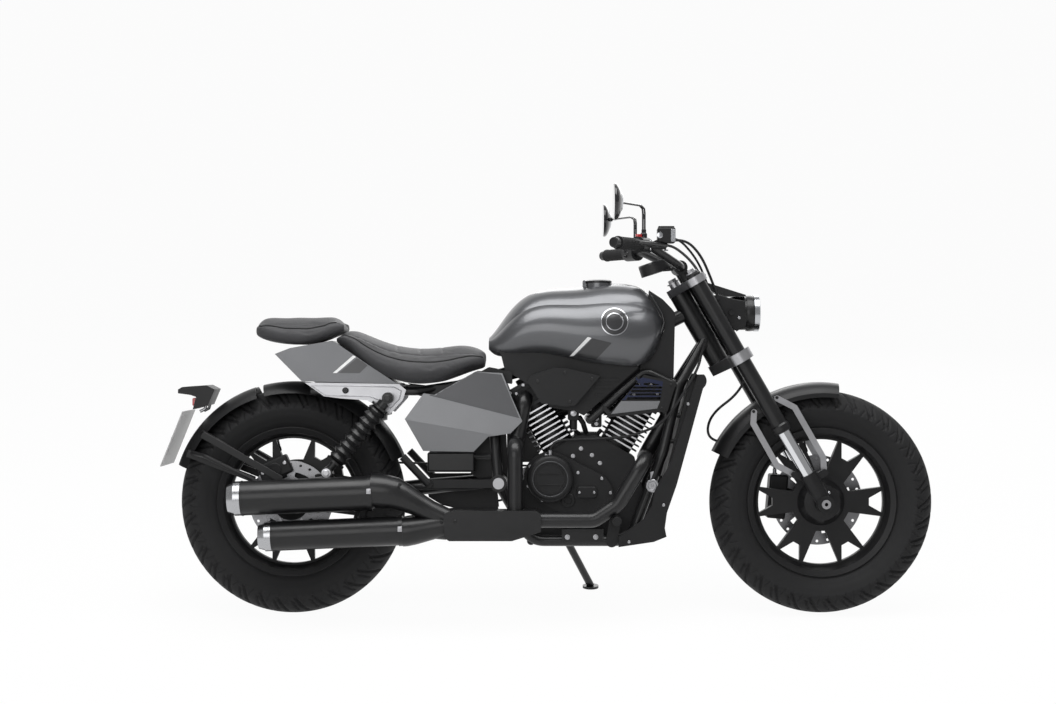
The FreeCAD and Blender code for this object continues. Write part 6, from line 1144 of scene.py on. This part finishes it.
# Seals, looms and webs that close the views between the larger parts
SEAL_LINE = outline_px(76, ((500, 353.6), (515, 352.6), (527.6, 352.9), (552.9, 355.1), (569.7, 357.1),
                            (590.8, 362.2), (618.1, 365.4), (637, 367.2)))
WEBS = (
    (((404, 384), (424, 386.5), (447, 384.5), (478, 373), (488, 367.5), (512, 372), (512, 384), (478, 379),
      (441, 395), (420, 396)), 92),
    (((427, 489.5), (496.5, 488.5), (498.5, 509.5), (462, 509.5), (442.6, 505), (429, 497)), 56),
    (((507, 394), (521, 389), (541, 404), (529, 428), (541, 450), (534, 462), (507, 462)), 24),
    (((470, 441), (506, 434), (508, 478), (497, 488), (471, 474)), 36),
)
low, high = px(600, 401.5, 60), px(639, 367.5, 60)
halfway = ((low[0] + high[0]) / 2, (low[1] + high[1]) / 2)
made("tank_seals", "black_rubber", *[("tube", [(x, side * 75, z) for x, z in SEAL_LINE], 5, 14) for side in SIDES])
made("side_looms", "black_rubber", *[
    ("tube", [(x, side * y, z) for (x, z), y in ((low, 58), (halfway, 56), (high, 54))], 9, 14) for side in SIDES
])
made("inner_panels", "black_plastic", *[
    ("rings", [[(x, side * y, z) for x, z in outline_px(across, pixels)] for y in (across, across + 4)])
    for side in SIDES for pixels, across in WEBS
])

# Horn on the right side of the radiator
made("horn", SATIN,
     ("turned", [(-4, 5), (3, 5), (3, 15), (5, 17.5), (12, 18.5), (13.5, 17), (13.5, 13), (11, 11), (11, 4), (12.5, 3),
                 (12.5, 0.1)], (268, -112, 373), RIGHT, 40),
     ("block", (268, -112, 392), (5, 2, 20), 2))

# Arms of the hugger: flat bars over its two tubes on each side
arm_bars = Builder()
hugger_tree = tree_of(nodes["hugger"].data)
for side in SIDES:
    for start, end in (((205, 433.5), (284, 478.5)), ((187, 453.2), (255, 479.7))):
        low, high = outline_px(100, (start, end))
        x, z = (low[0] + high[0]) / 2, (low[1] + high[1]) / 2
        hit = side_hit(hugger_tree, x, z, side)[0]
        across = (FROM_ROW @ hit).y if hit is not None else side * 100
        way = Vector((high[0] - low[0], 0, high[1] - low[1]))
        arm_bars.block((x, across, z), (way.length / 2, 2.5, 9.5), 3, (way, LEFT, way.cross(Vector(LEFT))))
arm_bars.piece("hugger_bars", "black_plastic")

# Side windows: a blue skin on the upper slats and a grey one on the lower slats
for side, word in SIDE_WORDS:
    lay_marks(side, word, "side_grilles", 103, 0.5, 4,
              ("grille_blue", "louvre_blue", (636, 376), (663, 381.5), (660, 400), (622, 400)),
              ("grille_grey", "silver_paint", (660, 401), (657, 408.5), (611, 414), (621, 401)))

# Camera: level with the leaning machine's side, as in the photograph
camera_data = bpy.data.cameras.new("Camera")
camera_data.sensor_width = 36
camera_data.lens = 70.8
camera_data.clip_end = 60
camera = linked("Camera", camera_data)
camera.location = UPRIGHT @ Vector((MIDDLE_PLACE[0], -CAMERA_DISTANCE, MIDDLE_PLACE[1]))
camera.rotation_euler = (radians(90) - LEAN, 0, 0)
bpy.context.scene.camera = camera

# Studio: a pale floor that curves up far behind, and that the camera sees as nearly plain white
FLOOR_WIDTH, FLOOR_NEAR, CURVE_START, CURVE_RADIUS, WALL_TOP = 48, -42, 15.0, 12, 36.0
PLAIN_SHARE = 0.955
profile = [(FLOOR_NEAR, 0.0), (CURVE_START, 0.0)]
profile += [
    (CURVE_START + CURVE_RADIUS * sin(a * pi / 24), CURVE_RADIUS - CURVE_RADIUS * cos(a * pi / 24))
    for a in range(1, 13)
]
profile += [(CURVE_START + CURVE_RADIUS, WALL_TOP)]
count = len(profile)
floor_mesh = bpy.data.meshes.new("floor")
floor_mesh.from_pydata([(x, y, z) for x in (-FLOOR_WIDTH, FLOOR_WIDTH) for y, z in profile], [],
                       [(k, k + 1, count + k + 1, count + k) for k in range(count - 1)])
floor = linked("floor", floor_mesh)
floor_mesh.polygons.foreach_set("use_smooth", [True] * len(floor_mesh.polygons))
pale = Shader("FloorWhite", (0.8, 0.8, 0.8), 0.9)
rays = pale.new("LightPath").outputs
white = pale.new("Emission", {"Color": WHITE, "Strength": 1.0})
seen = pale.math("MAXIMUM", rays["Is Camera Ray"], rays["Is Glossy Ray"])
seen = pale.math("MAXIMUM", seen, rays["Is Transmission Ray"])
share = pale.math("MULTIPLY", seen, PLAIN_SHARE)
blend = pale.new("MixShader", {0: share, 1: pale.main.outputs[0], 2: white.outputs[0]})
pale.feed(pale.tree.nodes["Material Output"].inputs["Surface"], blend.outputs[0])
floor.data.materials.append(pale.material)


def area_light(name, place, target, size, power):
    data = bpy.data.lights.new(name, "AREA")
    data.shape = "RECTANGLE"
    data.size, data.size_y = size
    data.energy = power
    light = linked(name, data)
    light.location = place
    light.rotation_euler = (Vector(target) - Vector(place)).to_track_quat("-Z", "Y").to_euler()


area_light("TopSoftbox", (0, -0.6, 3.6), (0, 0, 0.5), (4.5, 2.2), 150)
area_light("CameraFill", (-1.5, -4.5, 2.2), (0, 0, 0.6), (3.5, 2.5), 60)
area_light("FarFill", (1.0, 4.0, 2.4), (0, 0, 0.6), (3.5, 2.5), 60)

# World: a weak white light, and plain white where the camera sees it or looks through glass
world = bpy.data.worlds.new("Studio")
bpy.context.scene.world = world
world.use_nodes = True
sky = Tree(world.node_tree)
weak = sky.tree.nodes["Background"]
sky.feed(weak.inputs["Color"], WHITE)
sky.feed(weak.inputs["Strength"], 0.35)
rays = sky.new("LightPath").outputs
white = sky.new("Background", {"Color": WHITE, "Strength": 1.0})
seen = sky.math("MAXIMUM", rays["Is Camera Ray"], rays["Is Transmission Ray"])
blend = sky.new("MixShader", {0: seen, 1: weak.outputs[0], 2: white.outputs[0]})
sky.feed(sky.tree.nodes["World Output"].inputs["Surface"], blend.outputs[0])
bpy.context.scene.view_settings.view_transform = "Standard"
